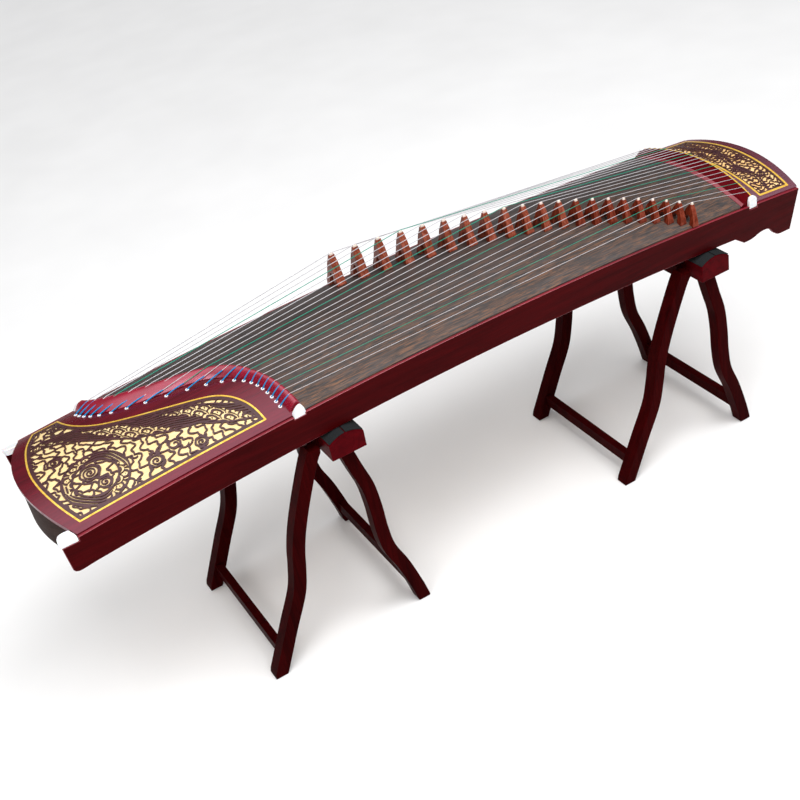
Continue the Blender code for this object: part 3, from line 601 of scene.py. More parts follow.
def scales(u, v, size, width):
    """Overlapping rows of ripple fans, each of a few rings round its centre."""
    row = np.floor(v / (0.5 * size))
    rings = np.full(u.shape, -1.0)
    settled = np.zeros(u.shape, bool)
    for back in (0, 1, 2):
        line = row - back
        offset = 0.5 * size * (line % 2)
        centre = np.round((u - offset) / size) * size + offset
        far = np.hypot(u - centre, v - 0.5 * size * line)
        here = (far < 0.54 * size) & ~settled
        rings = np.where(here, stroke(far - 0.54 * size + 0.27 * size / 2, 0.27 * size, width), rings)
        settled |= here
    return rings


def curl(x, y, place, radius, turn, width):
    """A rolled cloud: a spiral inside a ring with shallow lobes."""
    dx, dy = x - place[0], y - place[1]
    far = np.hypot(dx, dy)
    angle = turn * np.arctan2(dy, dx)
    lobes = radius * (1 + 0.05 * np.cos(6 * angle))
    pitch = radius / max(1, round(radius / (2.7 * width)))
    spiral = stroke(far - pitch * angle / (2 * math.pi), pitch, width)
    ring = 0.6 * width - np.abs(far - lobes)
    return lobes - far, np.maximum(spiral, ring), ring


def fretwork(swapped, path, rings, curls, width):
    """Field of a fret: winding bars, bands of ripples across it, and rolled clouds.

    A band's path is (place along the panel, middle, half width), a ring's is (centre, radius,
    half width), and a cloud's is (centre, radius, turning sense).
    """
    at, middle, half = (np.array(column) for column in zip(*path))

    def banded(wood, along, across, inside):
        flow = stroke(across + 0.7 * width * np.sin(along / (3.4 * width)), 1.9 * width, 1.08 * width)
        ripples = scales(along, across, 8.4 * width, 0.95 * width)
        edge = 0.5 * width - np.abs(inside)
        fill = np.where(np.sin(along / (7.5 * width) + across / (4 * width)) > 0, flow, ripples)
        return np.where(inside > 0, np.maximum(fill, edge), np.maximum(wood, edge))

    def field(x, y):
        u, v = (y, x) if swapped else (x, y)
        sway = np.sin(v / (8 * width) + 1.1 * np.sin(u / (21 * width)))
        drift = 3.4 * width * sway * np.sin(u / (12 * width))
        wood = meander(u + 0.25 * v + drift, v - 0.15 * u, 5.6 * width, 11.0 * width, 1.9 * width, width)
        for (x0, y0), radius, thick in rings:
            far = np.hypot(x - x0, y - y0)
            angle = np.arctan2(y - y0, x - x0)
            wood = banded(wood, angle * radius, far - radius, thick - np.abs(far - radius))
        centre = np.interp(u, at, middle)
        slope = np.interp(u + 0.005, at, middle) - np.interp(u - 0.005, at, middle)
        across = (v - centre) / np.sqrt(1 + (100 * slope) ** 2)
        wood = banded(wood, u, across, np.interp(u, at, half) - np.abs(across))
        for place, radius, turn in curls:
            depth, rolled, ring = curl(x, y, place, radius, turn, 0.85 * width)
            wood = np.where(depth > 0, rolled, np.maximum(wood, ring))
        return wood

    return field


def fretted_panel(name, outline, area, fret, line_width, border, body, ground):
    """Carving, pale ground and gold line of one end panel; returns its outline's field."""
    panel = outline_field(outline)

    def carving(x, y):
        depth = panel(x, y)
        return np.minimum(depth - 0.3 * line_width, np.maximum(border - depth, fret(x, y)))

    def line(x, y):
        return 0.5 * line_width - np.abs(panel(x, y))

    mesh = contour_board(f"{name}_panel_carving", carving, area, 0.0012, 0.0024, -0.0002)
    piece(f"{name}_panel_fretwork", mesh, CARVED, body, (f"{name}_carving",))
    mesh = contour_board(f"{name}_panel_ground", panel, area, 0.006, 0.0003, -0.0027)
    piece(f"{name}_panel_ground", mesh, ground, body)
    mesh = contour_board(f"{name}_panel_line", line, area, 0.0012, 0.0016, 0.0003)
    piece(f"{name}_panel_gold_line", mesh, GOLD, body)
    return panel


# ---- tail end

TAIL_BRIDGE_BASE = (
    (-0.3665, -0.1705), (-0.3685, -0.137), (-0.374, -0.095), (-0.386, -0.055), (-0.411, -0.015),
    (-0.452, 0.018), (-0.512, 0.037), (-0.568, 0.053), (-0.612, 0.074), (-0.640, 0.100),
    (-0.655, 0.130), (-0.661, 0.1705),
)
TAIL_BRIDGE_RIDGE = (
    (-0.3500, -0.1705), (-0.3525, -0.137), (-0.359, -0.095), (-0.372, -0.055), (-0.394, -0.010),
    (-0.428, 0.024), (-0.478, 0.050), (-0.532, 0.070), (-0.583, 0.094), (-0.617, 0.120),
    (-0.637, 0.145), (-0.6455, 0.1705),
)
TAIL_BRIDGE_TOE = 0.007


def tail_panel():
    """Straight near edge, arc along the tail, short far edge and a wavy edge."""
    arc = (
        (-0.758, -0.146), (-0.772, -0.108), (-0.782, -0.069), (-0.788, -0.030), (-0.789, 0.012),
        (-0.782, 0.060), (-0.768, 0.111), (-0.745, 0.158),
    )
    wave = (
        (-0.697, 0.156), (-0.692, 0.127), (-0.682, 0.098), (-0.664, 0.070), (-0.640, 0.047),
        (-0.607, 0.027), (-0.573, 0.011), (-0.522, -0.010), (-0.477, -0.028), (-0.452, -0.042),
        (-0.433, -0.062), (-0.419, -0.089), (-0.412, -0.115), (-0.409, -0.146),
    )
    return smooth(arc, 4) + smooth(wave, 4)


def ridge_x(y):
    line = smooth(TAIL_BRIDGE_RIDGE, 3)
    return np.interp(y, [p.y for p in line], [p.x for p in line])


def seam_x(y):
    return ridge_x(y) - 0.008


def build_tail_panel():
    """Adds the tail's fretted panel and returns its outline's field."""
    path = (
        (-0.790, 0.080, 0.008), (-0.745, 0.088, 0.012), (-0.700, 0.066, 0.015),
        (-0.655, 0.022, 0.016), (-0.605, -0.014, 0.024), (-0.550, -0.040, 0.025),
        (-0.500, -0.058, 0.024), (-0.455, -0.090, 0.022), (-0.405, -0.122, 0.012),
    )
    curls = (
        ((-0.704, -0.062), 0.018, 1), ((-0.690, -0.098), 0.012, -1), ((-0.601, -0.112), 0.013, 1),
        ((-0.560, -0.098), 0.010, -1), ((-0.745, 0.010), 0.012, -1), ((-0.712, 0.126), 0.012, 1),
        ((-0.520, -0.122), 0.011, 1),
    )
    area = (-0.795, -0.402, -0.156, 0.162)
    rings = (((-0.700, -0.078), 0.050, 0.0095),)
    fret = fretwork(False, path, rings, curls, 0.0031)
    return fretted_panel(
        "tail", tail_panel(), area, fret, LINE_WIDTH, 0.0085, "instrument", TAIL_GROUND
    )


def build_tail_plate(panel):
    def plate(x, y):
        edge = np.minimum(x - tail_edge(y), seam_x(y) - GAP - x)
        edge = np.minimum(edge, INNER_HALF - np.abs(y))
        return np.minimum(edge, -panel(x, y) - 0.2 * LINE_WIDTH)

    area = (-0.8155, -0.345, -BOARD_EDGE, BOARD_EDGE)
    mesh = contour_board("tail_plate_top", plate, area, 0.0026, BOARD_THICKNESS)
    piece("tail_plate_top", mesh, PLATE, "instrument", ("tail_plate",))


def build_soundboard():
    def board(x, y):
        edge = np.minimum(x - seam_x(y), BOARD_HEAD_X - x)
        return np.minimum(edge, INNER_HALF - np.abs(y))

    area = (-0.66, BOARD_HEAD_X, -BOARD_EDGE, BOARD_EDGE)
    mesh = contour_board("soundboard_top", board, area, 0.003, BOARD_THICKNESS)
    piece("soundboard_top", mesh, SOUNDBOARD, "instrument", ("soundboard",))


def build_tail_wall():
    """The end wall under the tail plate, which follows the plate's arc."""

    def wall(y):
        x = tail_edge(y) + 0.0040
        low, high = underside(-0.79) + 0.001, top_z(x, y) - BOARD_THICKNESS - 3 * GAP
        inside = x + 0.012
        return [(x + 0.001, low), (x + 0.0003, low + 0.0006), (x, high), (inside, high), (inside, low)]

    crosswise("tail_wall", wall, even(INNER_HALF, 48), TAIL_FACE, ("tail_end_board",))


def wedge(base, ridge):
    """Section of the wavy tail bridge: a long rounded slope, the ridge and a steep front."""
    inner, crest = Vector(base), Vector(ridge)
    way = (crest - inner).normalized()
    rise = [(inner, GAP), (inner, 0.0016)]
    for share in (0.12, 0.25, 0.40, 0.55, 0.70, 0.83, 0.93):
        height = 0.0016 + (RIDGE_HEIGHT - 0.0016) * math.sin(0.5 * math.pi * share) ** 0.92
        rise.append((inner.lerp(crest, share), min(height, 0.0151)))
    front = ((0.0, RIDGE_HEIGHT), (0.0018, 0.0147), (0.0035, 0.0134), (0.0050, 0.0108), (0.0060, 0.0075))
    rise += [(crest + way * run, height) for run, height in front + ((TAIL_BRIDGE_TOE, GAP),)]
    return [(p.x, p.y, top_z(p.x, p.y) + height) for p, height in rise]


def build_tail_bridge():
    bases = smooth(TAIL_BRIDGE_BASE, 8)
    crests = smooth(TAIL_BRIDGE_RIDGE, 8)
    rows = [wedge(a, b) for a, b in zip(bases, crests)]
    ends = 0.1603
    body = [row for row in rows if abs(row[0][1]) < ends]
    for row, edge in ((body[0], -1), (body[-1], 1)):
        for k, (x, y, z) in enumerate(row):
            if abs(y) > ends:
                row[k] = (x, edge * ends, z)
    bm = bmesh.new()
    rails(bm, body)
    mesh = to_mesh("tail_bridge_wave", bm)
    piece("tail_bridge_wave", mesh, WAVE, "instrument", ("tail_bridge",))
    for side, sign in SIDES:
        seat = TAIL_NOTCHES[side]
        base, crest = (bases[0], crests[0]) if sign < 0 else (bases[-1], crests[-1])
        row = wedge(base, crest)
        bm = bmesh.new()
        levels = (ends + 0.0002, 0.1655, 0.1707)
        rails(bm, [[(x, sign * y, z) for x, _, z in row] for y in levels])
        x0, x1 = seat[0] + 0.0004, seat[1] - 0.0004
        low, high = (side_top(x) - 0.0040 for x in seat)
        outline = [(x0, low), (x1, high), (x1, high + 0.006), (x0, low + 0.006)]
        prism(bm, outline, *sorted((sign * 0.1652, sign * CAP_OUTER_Y)))
        cap = piece(f"tail_bridge_cap_{side}", to_mesh("cap", bm), BONE, "instrument")
        bevel(cap, 0.0007, 2)


# ---- strings


def hole_place(i):
    y = (i - (STRINGS - 1) / 2) * 0.0137
    return -0.522 - 0.148 * math.tanh((y - 0.028) / 0.055), y


def head_place(i):
    y = (i - (STRINGS - 1) / 2) * 0.0150
    return head_ridge(y), y


def string_y(i, x):
    x0, y0 = hole_place(i)
    x1, y1 = head_place(i)
    return y0 + (y1 - y0) * (x - x0) / (x1 - x0)


def ridge_crossing(i):
    x = hole_place(i)[0]
    for _ in range(20):
        x = 0.5 * x + 0.5 * float(ridge_x(string_y(i, x)))
    return x


def bridge_place(i):
    """x, y, height, half span and thickness of movable bridge i."""
    t = i / (STRINGS - 1)
    x = FIRST_BRIDGE_X - 0.350 * t - 0.292 * t * t
    height = 0.038 + 0.032 * t * t * (3 - 2 * t)
    return x, string_y(i, x), height, 0.0200 + 0.0035 * t, 0.0140 + 0.0090 * t


def bridge_lean(i):
    """How far the feet of movable bridge i stand towards the tail from its tip."""
    return 0.009 * max(1 - i / UPRIGHT_BRIDGES_FROM, 0)


def string_radius(i):
    return 0.00045 + 0.00035 * i / (STRINGS - 1)


def above(x, y, lift):
    """The point at a height above the crowned top."""
    return Vector((x, y, top_z(x, y) + lift))


def between(a, b, steps):
    a, b = Vector(a), Vector(b)
    return [a.lerp(b, k / steps) for k in range(steps + 1)]


def build_strings():
    threads = bmesh.new()
    eyelets = bmesh.new()
    for i in range(STRINGS):
        radius = string_radius(i)
        hole_x, hole_y = hole_place(i)
        cross_x = ridge_crossing(i)
        cross_y = string_y(i, cross_x)
        hole = above(hole_x, hole_y, 0.0012)
        ridge = above(cross_x, cross_y, RIDGE_HEIGHT + 0.0013)
        run = ridge - hole
        wound = min(0.038, 0.90 * run.length)
        way = run.normalized()
        thread = between(hole, hole + way * wound, 8)
        for k, point in enumerate(thread):
            point.z += 0.0012 * math.sin(math.pi * k / 8)
        tube(threads, thread, 0.00115)
        x, y, height = bridge_place(i)[:3]
        tip = above(x, y, height + radius - 0.0004)
        head_x, head_y = head_place(i)
        nut = above(head_x, head_y, RIDGE_HEIGHT + radius)
        over = Vector((head_x + 0.0032, head_y, top_z(head_x, head_y) + RIDGE_HEIGHT - 0.0004))
        slot = above(head_x + 0.0086, head_y, -0.0060)
        under = above(PIN_X, head_y, -0.0130)
        look = GREEN if i in GREEN_STRINGS else SILVER
        for part, route, start in (
            ("tail", [hole + way * wound * 0.98] + between(ridge, tip, 10), ridge),
            ("head", between(tip, nut, 10) + [over, slot, under], nut),
        ):
            bm = bmesh.new()
            tube(bm, route, radius)
            mesh = to_mesh("string", bm)
            obj = piece(f"string_{i + 1:02d}_{part}", mesh, look, None, ("strings",))
            tuple(start)
            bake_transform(obj)
        add_eyelet(eyelets, hole_x, hole_y)
    piece("string_threads", to_mesh("threads", threads), BLUE, "instrument")
    piece("string_eyelets", to_mesh("eyelets", eyelets), BONE, "instrument")


def add_eyelet(bm, x, y):
    """A rounded ring round a string hole, lying on the crowned plate."""
    tilt = Matrix.Rotation(math.atan(-2 * CROWN * y / HALF_WIDTH**2), 4, "X")
    place = Matrix.Translation((x, y, top_z(x, y) + GAP)) @ tilt
    profile = ((0.0036, 0.0), (0.0035, 0.0007), (0.0030, 0.0013))
    profile += ((0.0022, 0.0014), (0.0014, 0.0009), (0.0013, 0.0))
    sides = 20
    rows = []
    for k in range(sides + 1):
        angle = 2 * math.pi * k / sides
        row = []
        for radius, height in profile:
            row.append(place @ Vector((radius * math.cos(angle), radius * math.sin(angle), height)))
        rows.append(row)
    rails(bm, rows, capped=False)


# ---- movable bridges

LEG_CURVE = ((-0.90, 0.17), (-0.66, 0.42), (-0.43, 0.66), (-0.22, 0.82))
ARCH_CURVE = ((0.36, 0.20), (0.20, 0.35), (0.0, 0.40), (-0.20, 0.35), (-0.36, 0.20))
TIP_HEIGHT = 0.0042
TIP_RINGS = ((0.0, 0.0028, 1.0), (0.0024, 0.0024, 0.96), (0.0036, 0.0018, 0.88), (TIP_HEIGHT, 0.0010, 0.74))


def build_bridge(i):
    x, y, height, span, thickness = bridge_place(i)
    lean = bridge_lean(i)
    base = top_z(x, y)
    top = height - TIP_HEIGHT

    def floor(offset):
        return top_z(x - lean, y + offset) - base + 1.5 * GAP

    def curve(shares):
        return [(out * span, up * height) for out, up in shares]

    side = smooth([(-span, floor(-span) + 0.0030)] + curve(LEG_CURVE) + [(-0.0029, top)], 4)
    inner = 0.45 * span
    arch = smooth([(inner, floor(inner))] + curve(ARCH_CURVE) + [(-inner, floor(-inner))], 4)
    left = [Vector((-span, floor(-span)))] + side
    right = [Vector((-p.x, p.y)) for p in side[::-1]] + [Vector((span, floor(span)))]
    outline = left + right + arch
    bm = bmesh.new()
    rows = []
    for k in range(5):
        share = -0.5 + k / 4
        row = []
        for p in outline:
            rise = min(max(p.y / height, 0), 1)
            waist = 1 - 0.56 * rise - 0.07 * math.sin(2 * math.pi * rise)
            row.append((x + share * thickness * waist - lean * (1 - rise), y + p.x, base + p.y))
        rows.append(row)
    rails(bm, rows)
    body = f"bridge_{i + 1:02d}"
    mesh = to_mesh(body, bm)
    # The head-end bridges take the darker copies of the wood, painted shade.
    wood, lit_side_wood = (SHADED_BRIDGE, SHADED_BRIDGE_LIT_SIDE) if i < SHADED_BRIDGES else (BRIDGE, BRIDGE_LIT_SIDE)
    mesh.materials.append(wood.material)
    # Faces turned along y, the slanted leg faces, take the lighter copy as painted highlight.
    paint(mesh, lit_side_wood, lambda face: abs(face.normal.y) > 0.6)
    obj = piece(f"{body}_wood", mesh, wood, body, (body,))
    bevel(obj, 0.0006, 2)


def build_tip(i):
    """The bone tip under the string, on rounded square rings."""
    x, y, height, _, thickness = bridge_place(i)
    foot = top_z(x, y) + height - TIP_HEIGHT
    half = 0.19 * thickness
    rows = []
    for level, wide, long in TIP_RINGS:
        ring = []
        for k in range(16):
            angle = 2 * math.pi * k / 16
            across, depth = math.cos(angle), math.sin(angle)
            across = math.copysign(abs(across) ** 0.5, across)
            depth = math.copysign(abs(depth) ** 0.5, depth)
            ring.append((x + half * long * depth, y + wide * across, foot + level))
        rows.append(ring)
    bm = bmesh.new()
    rails(bm, rows)
    body = f"bridge_{i + 1:02d}"
    piece(f"{body}_tip", to_mesh("tip", bm), TIP, body)


# ---- sides and ends


def notch(low, high, depth):
    sliver = 0.0001
    return [
        (low, side_top(low)), (low + sliver, side_top(low) - depth),
        (high - sliver, side_top(high) - depth), (high, side_top(high)),
    ]


def side_outline(bridge_notch):
    corner = side_top(-0.803) - 0.0053
    upper = [(-0.803, corner), (-0.7728, corner), (-0.7727, side_top(-0.7727))]
    plain = [-0.76 + 0.04 * k for k in range(39)]
    low, high = bridge_notch
    upper += [(x, side_top(x)) for x in plain if x < low - 0.01]
    upper += notch(low, high, 0.0043)
    upper += [(x, side_top(x)) for x in plain if high + 0.01 < x < 0.652]
    upper += notch(*HEAD_NOTCH, 0.0070)
    upper += [(x, side_top(x)) for x in (0.71, 0.75)] + [(0.7945, side_top(0.7945))]
    foot = smooth(
        [
            (0.7540, 0.4299), (0.7395, 0.4312), (0.7310, 0.4360), (0.7246, 0.4415),
            (0.7190, 0.4486), (0.7125, 0.4545), (0.7000, 0.4562), (0.6880, 0.4548),
            (0.6752, 0.4508), (0.6620, 0.4489), (0.6480, 0.4492),
        ],
        3,
    )
    foot = [(0.7715, 0.4297)] + [(p.x, p.y) for p in foot]
    foot += [(0.6360, 0.4580), (0.6244, underside(0.6244))]
    lower = [(0.60 - 0.04 * k, underside(0.60 - 0.04 * k)) for k in range(35)]
    tail = [(-0.786, 0.4503), (-0.792, 0.4507), (-0.7965, 0.4530), (-0.7995, 0.4575)]
    return upper + foot + lower + tail


def build_sides():
    for side, sign in SIDES:
        bm = bmesh.new()
        low, high = sorted((sign * HALF_WIDTH, sign * (HALF_WIDTH - SIDE_THICKNESS)))
        prism(bm, side_outline(TAIL_NOTCHES[side]), low, high)
        mesh = to_mesh(f"side_{side}", bm)
        mesh.materials.append(SIDE.material)
        # The top faces and the bevelled edges take the brighter rim lacquer, a painted highlight along the
        # edges.
        paint(mesh, RIM_HIGHLIGHT, lambda face: face.normal.z > 0.9)
        obj = piece(f"side_{side}", mesh, SIDE, "instrument", (f"side_panel_{side}",))
        bevel(obj, 0.0009)
        obj.modifiers["edges"].material = 1


def crosswise(name, profile, stations, look, replaces):
    """A piece through the profiles at the stations, from side to side of the instrument."""
    bm = bmesh.new()
    rails(bm, [[(x, y, z) for x, z in profile(y)] for y in stations])
    return piece(name, to_mesh(name, bm), look, "instrument", replaces)


def even(half, steps):
    """Evenly spaced values from -half to half."""
    return [-half + 2 * half * k / steps for k in range(steps + 1)]


def build_corner_caps():
    for side, sign in SIDES:
        outline = [(-0.7734, CAP_OUTER_Y), (-0.7734, 0.1653)]
        outline += [(tail_edge(y) - 0.0006, y) for y in (0.1600, 0.1560, 0.1520, 0.1480)]
        outline += [
            (-0.7900, 0.1474), (-0.7960, 0.1480), (-0.8010, 0.1500), (-0.8044, 0.1550),
            (-0.8056, 0.1620), (-0.8050, CAP_OUTER_Y),
        ]
        seat = side_top(-0.803) - 0.0050
        bm = bmesh.new()
        rows = [[(x, sign * y, seat) for x, y in outline]]
        rows.append([(x, sign * y, top_z(-0.79, y) - 0.0002) for x, y in outline])
        rails(bm, rows)
        mesh = to_mesh("cap", bm)
        cap = piece(f"corner_cap_{side}", mesh, BONE, "instrument", (f"tail_cap_{side}",))
        bevel(cap, 0.0013)


# ---- head end


def lid_start(y):
    return head_ridge(y) + 0.0118


def lid_end(y):
    return 0.7865 + 0.0125 * (1 - (y / HALF_WIDTH) ** 2)


def build_nut():
    def bridge(y):
        ridge = head_ridge(y)

        def up(x, height):
            return (x, top_z(x, y) + height)

        face = [up(BOARD_HEAD_X + GAP, -BOARD_THICKNESS), up(BOARD_HEAD_X + GAP, 0.0008)]
        for share in (0.2, 0.4, 0.6, 0.8, 0.93):
            height = RIDGE_HEIGHT * math.sin(0.5 * math.pi * share) ** 0.95
            face.append(up((1 - share) * BOARD_HEAD_X + share * ridge, height))
        back = [up(ridge, RIDGE_HEIGHT), up(ridge + 0.0012, 0.0147), up(ridge + 0.0022, 0.0130)]
        return face + back + [up(ridge + 0.0050, -BOARD_THICKNESS)]

    nut = crosswise("head_nut", bridge, even(0.1646, 36), NUT, ("head_bridge",))
    # The front faces next to the soundboard take the brighter rim lacquer, a painted highlight strip.
    paint(nut.data, RIM_HIGHLIGHT, lambda face: face.center.x < BOARD_HEAD_X + 0.006)
    paint(nut.data, GOLD, lambda face: -0.003 < face.center.x - head_ridge(face.center.y) < 0.0018)


def build_nut_caps():
    low, high = HEAD_NOTCH[0] + 0.0004, HEAD_NOTCH[1] - 0.0004
    seat = side_top(HEAD_NOTCH[0]) - 0.0064
    outline = [
        (low, seat), (high, seat), (high, seat + 0.0180), (0.6795, seat + 0.0235),
        (0.6735, seat + 0.0250), (0.6668, seat + 0.0232), (low, seat + 0.0175),
    ]
    for side, sign in SIDES:
        bm = bmesh.new()
        prism(bm, outline, *sorted((sign * 0.1622, sign * CAP_OUTER_Y)))
        cap = piece(f"head_cap_{side}", to_mesh("cap", bm), BONE, "instrument")
        bevel(cap, 0.0020, 4, 30)


def build_lid():
    half = 0.153
    outline = [(0.7070 + 0.0030 * (1 - (y / half) ** 2), y) for y in even(half, 24)[::-1]]
    outline += [(0.7800 + 0.0125 * (1 - (y / half) ** 2), y) for y in even(half, 24)]
    path = (
        (-0.155, 0.735, 0.0008), (-0.100, 0.748, 0.0040), (-0.040, 0.738, 0.0055),
        (0.030, 0.758, 0.0055), (0.090, 0.742, 0.0040), (0.155, 0.750, 0.0008),
    )
    curls = (
        ((0.762, -0.098), 0.008, 1), ((0.728, -0.060), 0.007, -1),
        ((0.770, -0.020), 0.008, 1), ((0.728, 0.040), 0.008, -1),
    )
    area = (0.702, 0.7960, -0.156, 0.156)
    fret = fretwork(True, path, (), curls, 0.0018)
    panel = fretted_panel("lid", outline, area, fret, 0.0046, 0.0055, "lid", LID_GROUND)

    def lid(x, y):
        edge = np.minimum(x - lid_start(y), lid_end(y) - x)
        edge = np.minimum(edge, LID_HALF_WIDTH - np.abs(y))
        return np.minimum(edge, -panel(x, y) - 0.2 * LINE_WIDTH)

    area = (0.684, 0.7975, -LID_HALF_WIDTH, LID_HALF_WIDTH)
    mesh = contour_board("lid_board", lid, area, 0.0026, 0.006)
    piece("lid_board", mesh, HEAD_PLATE, "lid", ("pin_box_lid",))


def build_head_plate():
    def plate(x, y):
        edge = np.minimum(x - lid_start(y), head_edge(y) - x)
        edge = np.minimum(edge, INNER_HALF - np.abs(y))
        opening = np.minimum(lid_end(y) + GAP - x, LID_HALF_WIDTH + GAP - np.abs(y))
        return np.minimum(edge, -opening)

    area = (0.684, 0.8155, -BOARD_EDGE, BOARD_EDGE)
    mesh = contour_board("head_plate_top", plate, area, 0.0026, BOARD_THICKNESS)
    piece("head_plate_top", mesh, HEAD_PLATE, "instrument", ("head_plate",))


# ---- trestles

FOLDING_LEG = (
    (-0.166, 0.0), (-0.144, 0.11), (-0.118, 0.24), (-0.087, 0.39), (-0.074, 0.51), (-0.067, 0.60),
    (-0.055, 0.70), (-0.034, 0.83), (-0.002, 1.0), (0.012, 1.055),
)
FIXED_LEG = (
    (0.160, 0.0), (0.150, 0.10), (0.131, 0.25), (0.110, 0.38), (0.103, 0.50), (0.101, 0.62),
    (0.095, 0.75), (0.082, 0.86), (0.066, 1.0),
)


def leg_outline(centre_line, x0, height):
    line = smooth([(x0 + dx, share * height) for dx, share in centre_line], 6)
    left = []
    right = []
    for k, point in enumerate(line):
        way = (line[min(k + 1, len(line) - 1)] - line[max(k - 1, 0)]).normalized()
        normal = Vector((-way.y, way.x))
        left.append(point + normal * LEG_WIDTH / 2)
        right.append(point - normal * LEG_WIDTH / 2)
    for edge in (left, right):
        edge[0].y = 0.0
        edge[-1].y = line[-1].y
    return left + right[::-1]


def build_beam(name, low, high, arch):
    outline = [(low[0], low[2]), (high[0], low[2])]
    outline += [(x, arch(x)) for x in np.linspace(high[0], low[0], 25)]
    bm = bmesh.new()
    prism(bm, outline, low[1], high[1])
    beam = piece(f"{name}_top_beam", to_mesh("beam", bm), BEAM, name, (f"{name}_beam",))
    bevel(beam, 0.0012, angle=40)


def build_pads(name, beam_x, half, arch):
    """Two strips of felt on the beam, one each side of its crest."""
    for place, sign in (("left", -1), ("right", 1)):
        inner, outer = sign * 0.0012, sign * (half - 0.001)
        xs = np.linspace(beam_x + inner, beam_x + outer, 10)
        lower = [(x, arch(x) + 0.0004) for x in xs]
        upper = [(x, arch(x) + PAD_THICKNESS - 0.0001) for x in xs[::-1]]
        bm = bmesh.new()
        prism(bm, lower + upper, -0.1888, 0.1888)
        pad = piece(f"{name}_pad_{place}", to_mesh("pad", bm), FELT, name, (f"{name}_pad",))
        bevel(pad, 0.0007, 2)


def build_legs(name, x0, height):
    """Four legs: the fixed pair on the trestle and the crossing pair on its folding frame."""
    kinds = (("fixed", FIXED_LEG, name), ("folding", FOLDING_LEG, f"{name}_folding_frame"))
    for place, sign in SIDES:
        edges = sorted((sign * (LEG_OUTER_Y - LEG_DEPTH), sign * LEG_OUTER_Y))
        for kind, centre_line, body in kinds:
            bm = bmesh.new()
            prism(bm, leg_outline(centre_line, x0, height), *edges)
            node = f"{name}_{kind}_leg_{place}"
            leg = piece(f"{node}_wood", to_mesh("leg", bm), LEG, body, (node,))
            bevel(leg, 0.0035, angle=40)


def build_trestle(side, x0):
    name = f"{side}_trestle"
    low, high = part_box(f"{name}_beam")
    beam_x = 0.5 * (low[0] + high[0])
    half = 0.5 * (high[0] - low[0])

    def arch(x):
        return high[2] - BEAM_ARCH * ((x - beam_x) / half) ** 2

    build_beam(name, low, high, arch)
    build_pads(name, beam_x, half, arch)
    build_legs(name, x0, low[2] - GAP)


def finish_frame_nodes():
    """Materials and rounded edges for the solids that stay as they are."""
    looks = {
        "back_board": RAW,
        "inner_rib_left": RAW,
        "inner_rib_right": RAW,
        "pin_block": RAW,
        "head_end_board": SIDE,
    }
    for side in TRESTLES:
        looks[f"{side}_trestle_fixed_stretcher"] = LEG
        looks[f"{side}_trestle_folding_stretcher"] = LEG
        looks[f"{side}_trestle_folding_rail"] = LEG
        looks[f"{side}_trestle_hinge"] = HINGE_METAL
    for name, look in looks.items():
        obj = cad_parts[name]
        obj.data.materials.clear()
        obj.data.materials.append(look.material)
        if "stretcher" in name or "rail" in name:
            bevel(obj, 0.0025)
    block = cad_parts["pin_block"].data
    paint(block, PIN_METAL, lambda face: face.center.z > top_z(0.74, face.center.y) - PIN_DEPTH)


# ---- stage


def build_camera():
    yaw, pitch, roll = math.radians(24.29), math.radians(-35.26), math.radians(-11.54)
    ahead = Vector((math.sin(yaw) * math.cos(pitch), math.cos(yaw) * math.cos(pitch), math.sin(pitch)))
    level = Vector((math.cos(yaw), -math.sin(yaw), 0))
    upright = level.cross(ahead)
    right = level * math.cos(roll) + upright * math.sin(roll)
    up = upright * math.cos(roll) - level * math.sin(roll)
    data = bpy.data.cameras.new("camera")
    data.sensor_width = 36
    data.lens = 57.97
    data.clip_end = 60
    camera = bpy.data.objects.new("camera", data)
    turn = Matrix((right, up, -ahead)).transposed().to_4x4()
    camera.matrix_world = Matrix.Translation((-0.9397, -1.8848, 1.8060)) @ turn
    bpy.context.scene.collection.objects.link(camera)
    bpy.context.scene.camera = camera


def area_light(name, place, target, size, energy):
    data = bpy.data.lights.new(name, "AREA")
    data.shape = "RECTANGLE"
    data.size, data.size_y = size
    data.energy = energy
    light = bpy.data.objects.new(name, data)
    light.location = place
    way = Vector(target) - Vector(place)
    light.rotation_euler = way.to_track_quat("-Z", "Y").to_euler()
    bpy.context.scene.collection.objects.link(light)


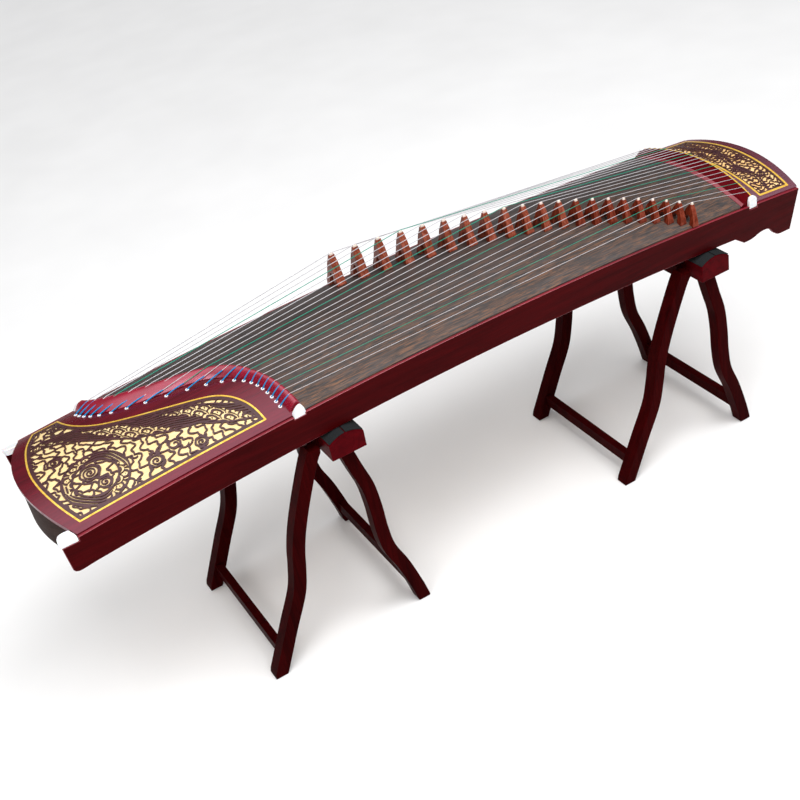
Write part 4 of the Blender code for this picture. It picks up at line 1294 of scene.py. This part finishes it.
def build_floor():
    bm = bmesh.new()
    bmesh.ops.create_grid(bm, x_segments=1, y_segments=1, size=14)
    floor = bpy.data.objects.new("floor", to_mesh("floor", bm))
    floor.location = (0, 0, -0.0005)
    bpy.context.scene.collection.objects.link(floor)
    look = Look("floor_paper", 0.9)
    mottle = look.noise((1, 1, 1), 3.0, 2.0)
    tone = look.ramp(mottle, ((0.3, (0.86, 0.86, 0.86)), (0.7, (0.90, 0.90, 0.90))))
    look.link(tone, look.shader.inputs["Base Color"])
    floor.data.materials.append(look.material)


def build_world():
    """The camera sees white; the part is lit by a sky that is dark low down and white overhead."""
    world = bpy.data.worlds.new("studio")
    bpy.context.scene.world = world
    world.use_nodes = True
    tree = world.node_tree
    tree.nodes.clear()
    kinds = "TexCoord SeparateXYZ ValToRGB Background Background LightPath MixShader OutputWorld"
    nodes = [tree.nodes.new(f"ShaderNode{kind}") for kind in kinds.split()]
    place, split, ramp, sky, backdrop, rays, mix, output = nodes
    marks = ramp.color_ramp.elements
    marks[0].position, marks[0].color = 0.10, (0.03, 0.03, 0.03, 1)
    marks[1].position, marks[1].color = 0.92, (1.0, 1.0, 1.0, 1)
    marks.new(0.65).color = (0.09, 0.09, 0.095, 1)
    sky.inputs["Strength"].default_value = 1.85
    backdrop.inputs["Color"].default_value = (1, 1, 1, 1)
    links = (
        (place.outputs["Generated"], split.inputs["Vector"]),
        (split.outputs["Z"], ramp.inputs["Fac"]),
        (ramp.outputs["Color"], sky.inputs["Color"]),
        (rays.outputs["Is Camera Ray"], mix.inputs["Fac"]),
        (sky.outputs["Background"], mix.inputs[1]),
        (backdrop.outputs["Background"], mix.inputs[2]),
        (mix.outputs["Shader"], output.inputs["Surface"]),
    )
    for source, target in links:
        tree.links.new(source, target)


def build_lights():
    area_light("overhead", (0.3, -1.3, 3.0), (0.0, 0.0, 0.4), (3.2, 1.6), 85)
    area_light("left_fill", (-2.6, -1.8, 2.4), (-0.2, 0.0, 0.4), (1.6, 1.6), 34)
    bpy.context.scene.view_settings.view_transform = "Standard"


build_tail_plate(build_tail_panel())
build_soundboard()
build_tail_wall()
build_tail_bridge()
build_strings()
for number in range(STRINGS):
    build_bridge(number)
    build_tip(number)
build_sides()
build_corner_caps()
build_nut()
build_nut_caps()
build_lid()
build_head_plate()
for trestle_side, trestle_x in TRESTLES.items():
    build_trestle(trestle_side, trestle_x)
finish_frame_nodes()
build_camera()
build_floor()
build_world()
build_lights()
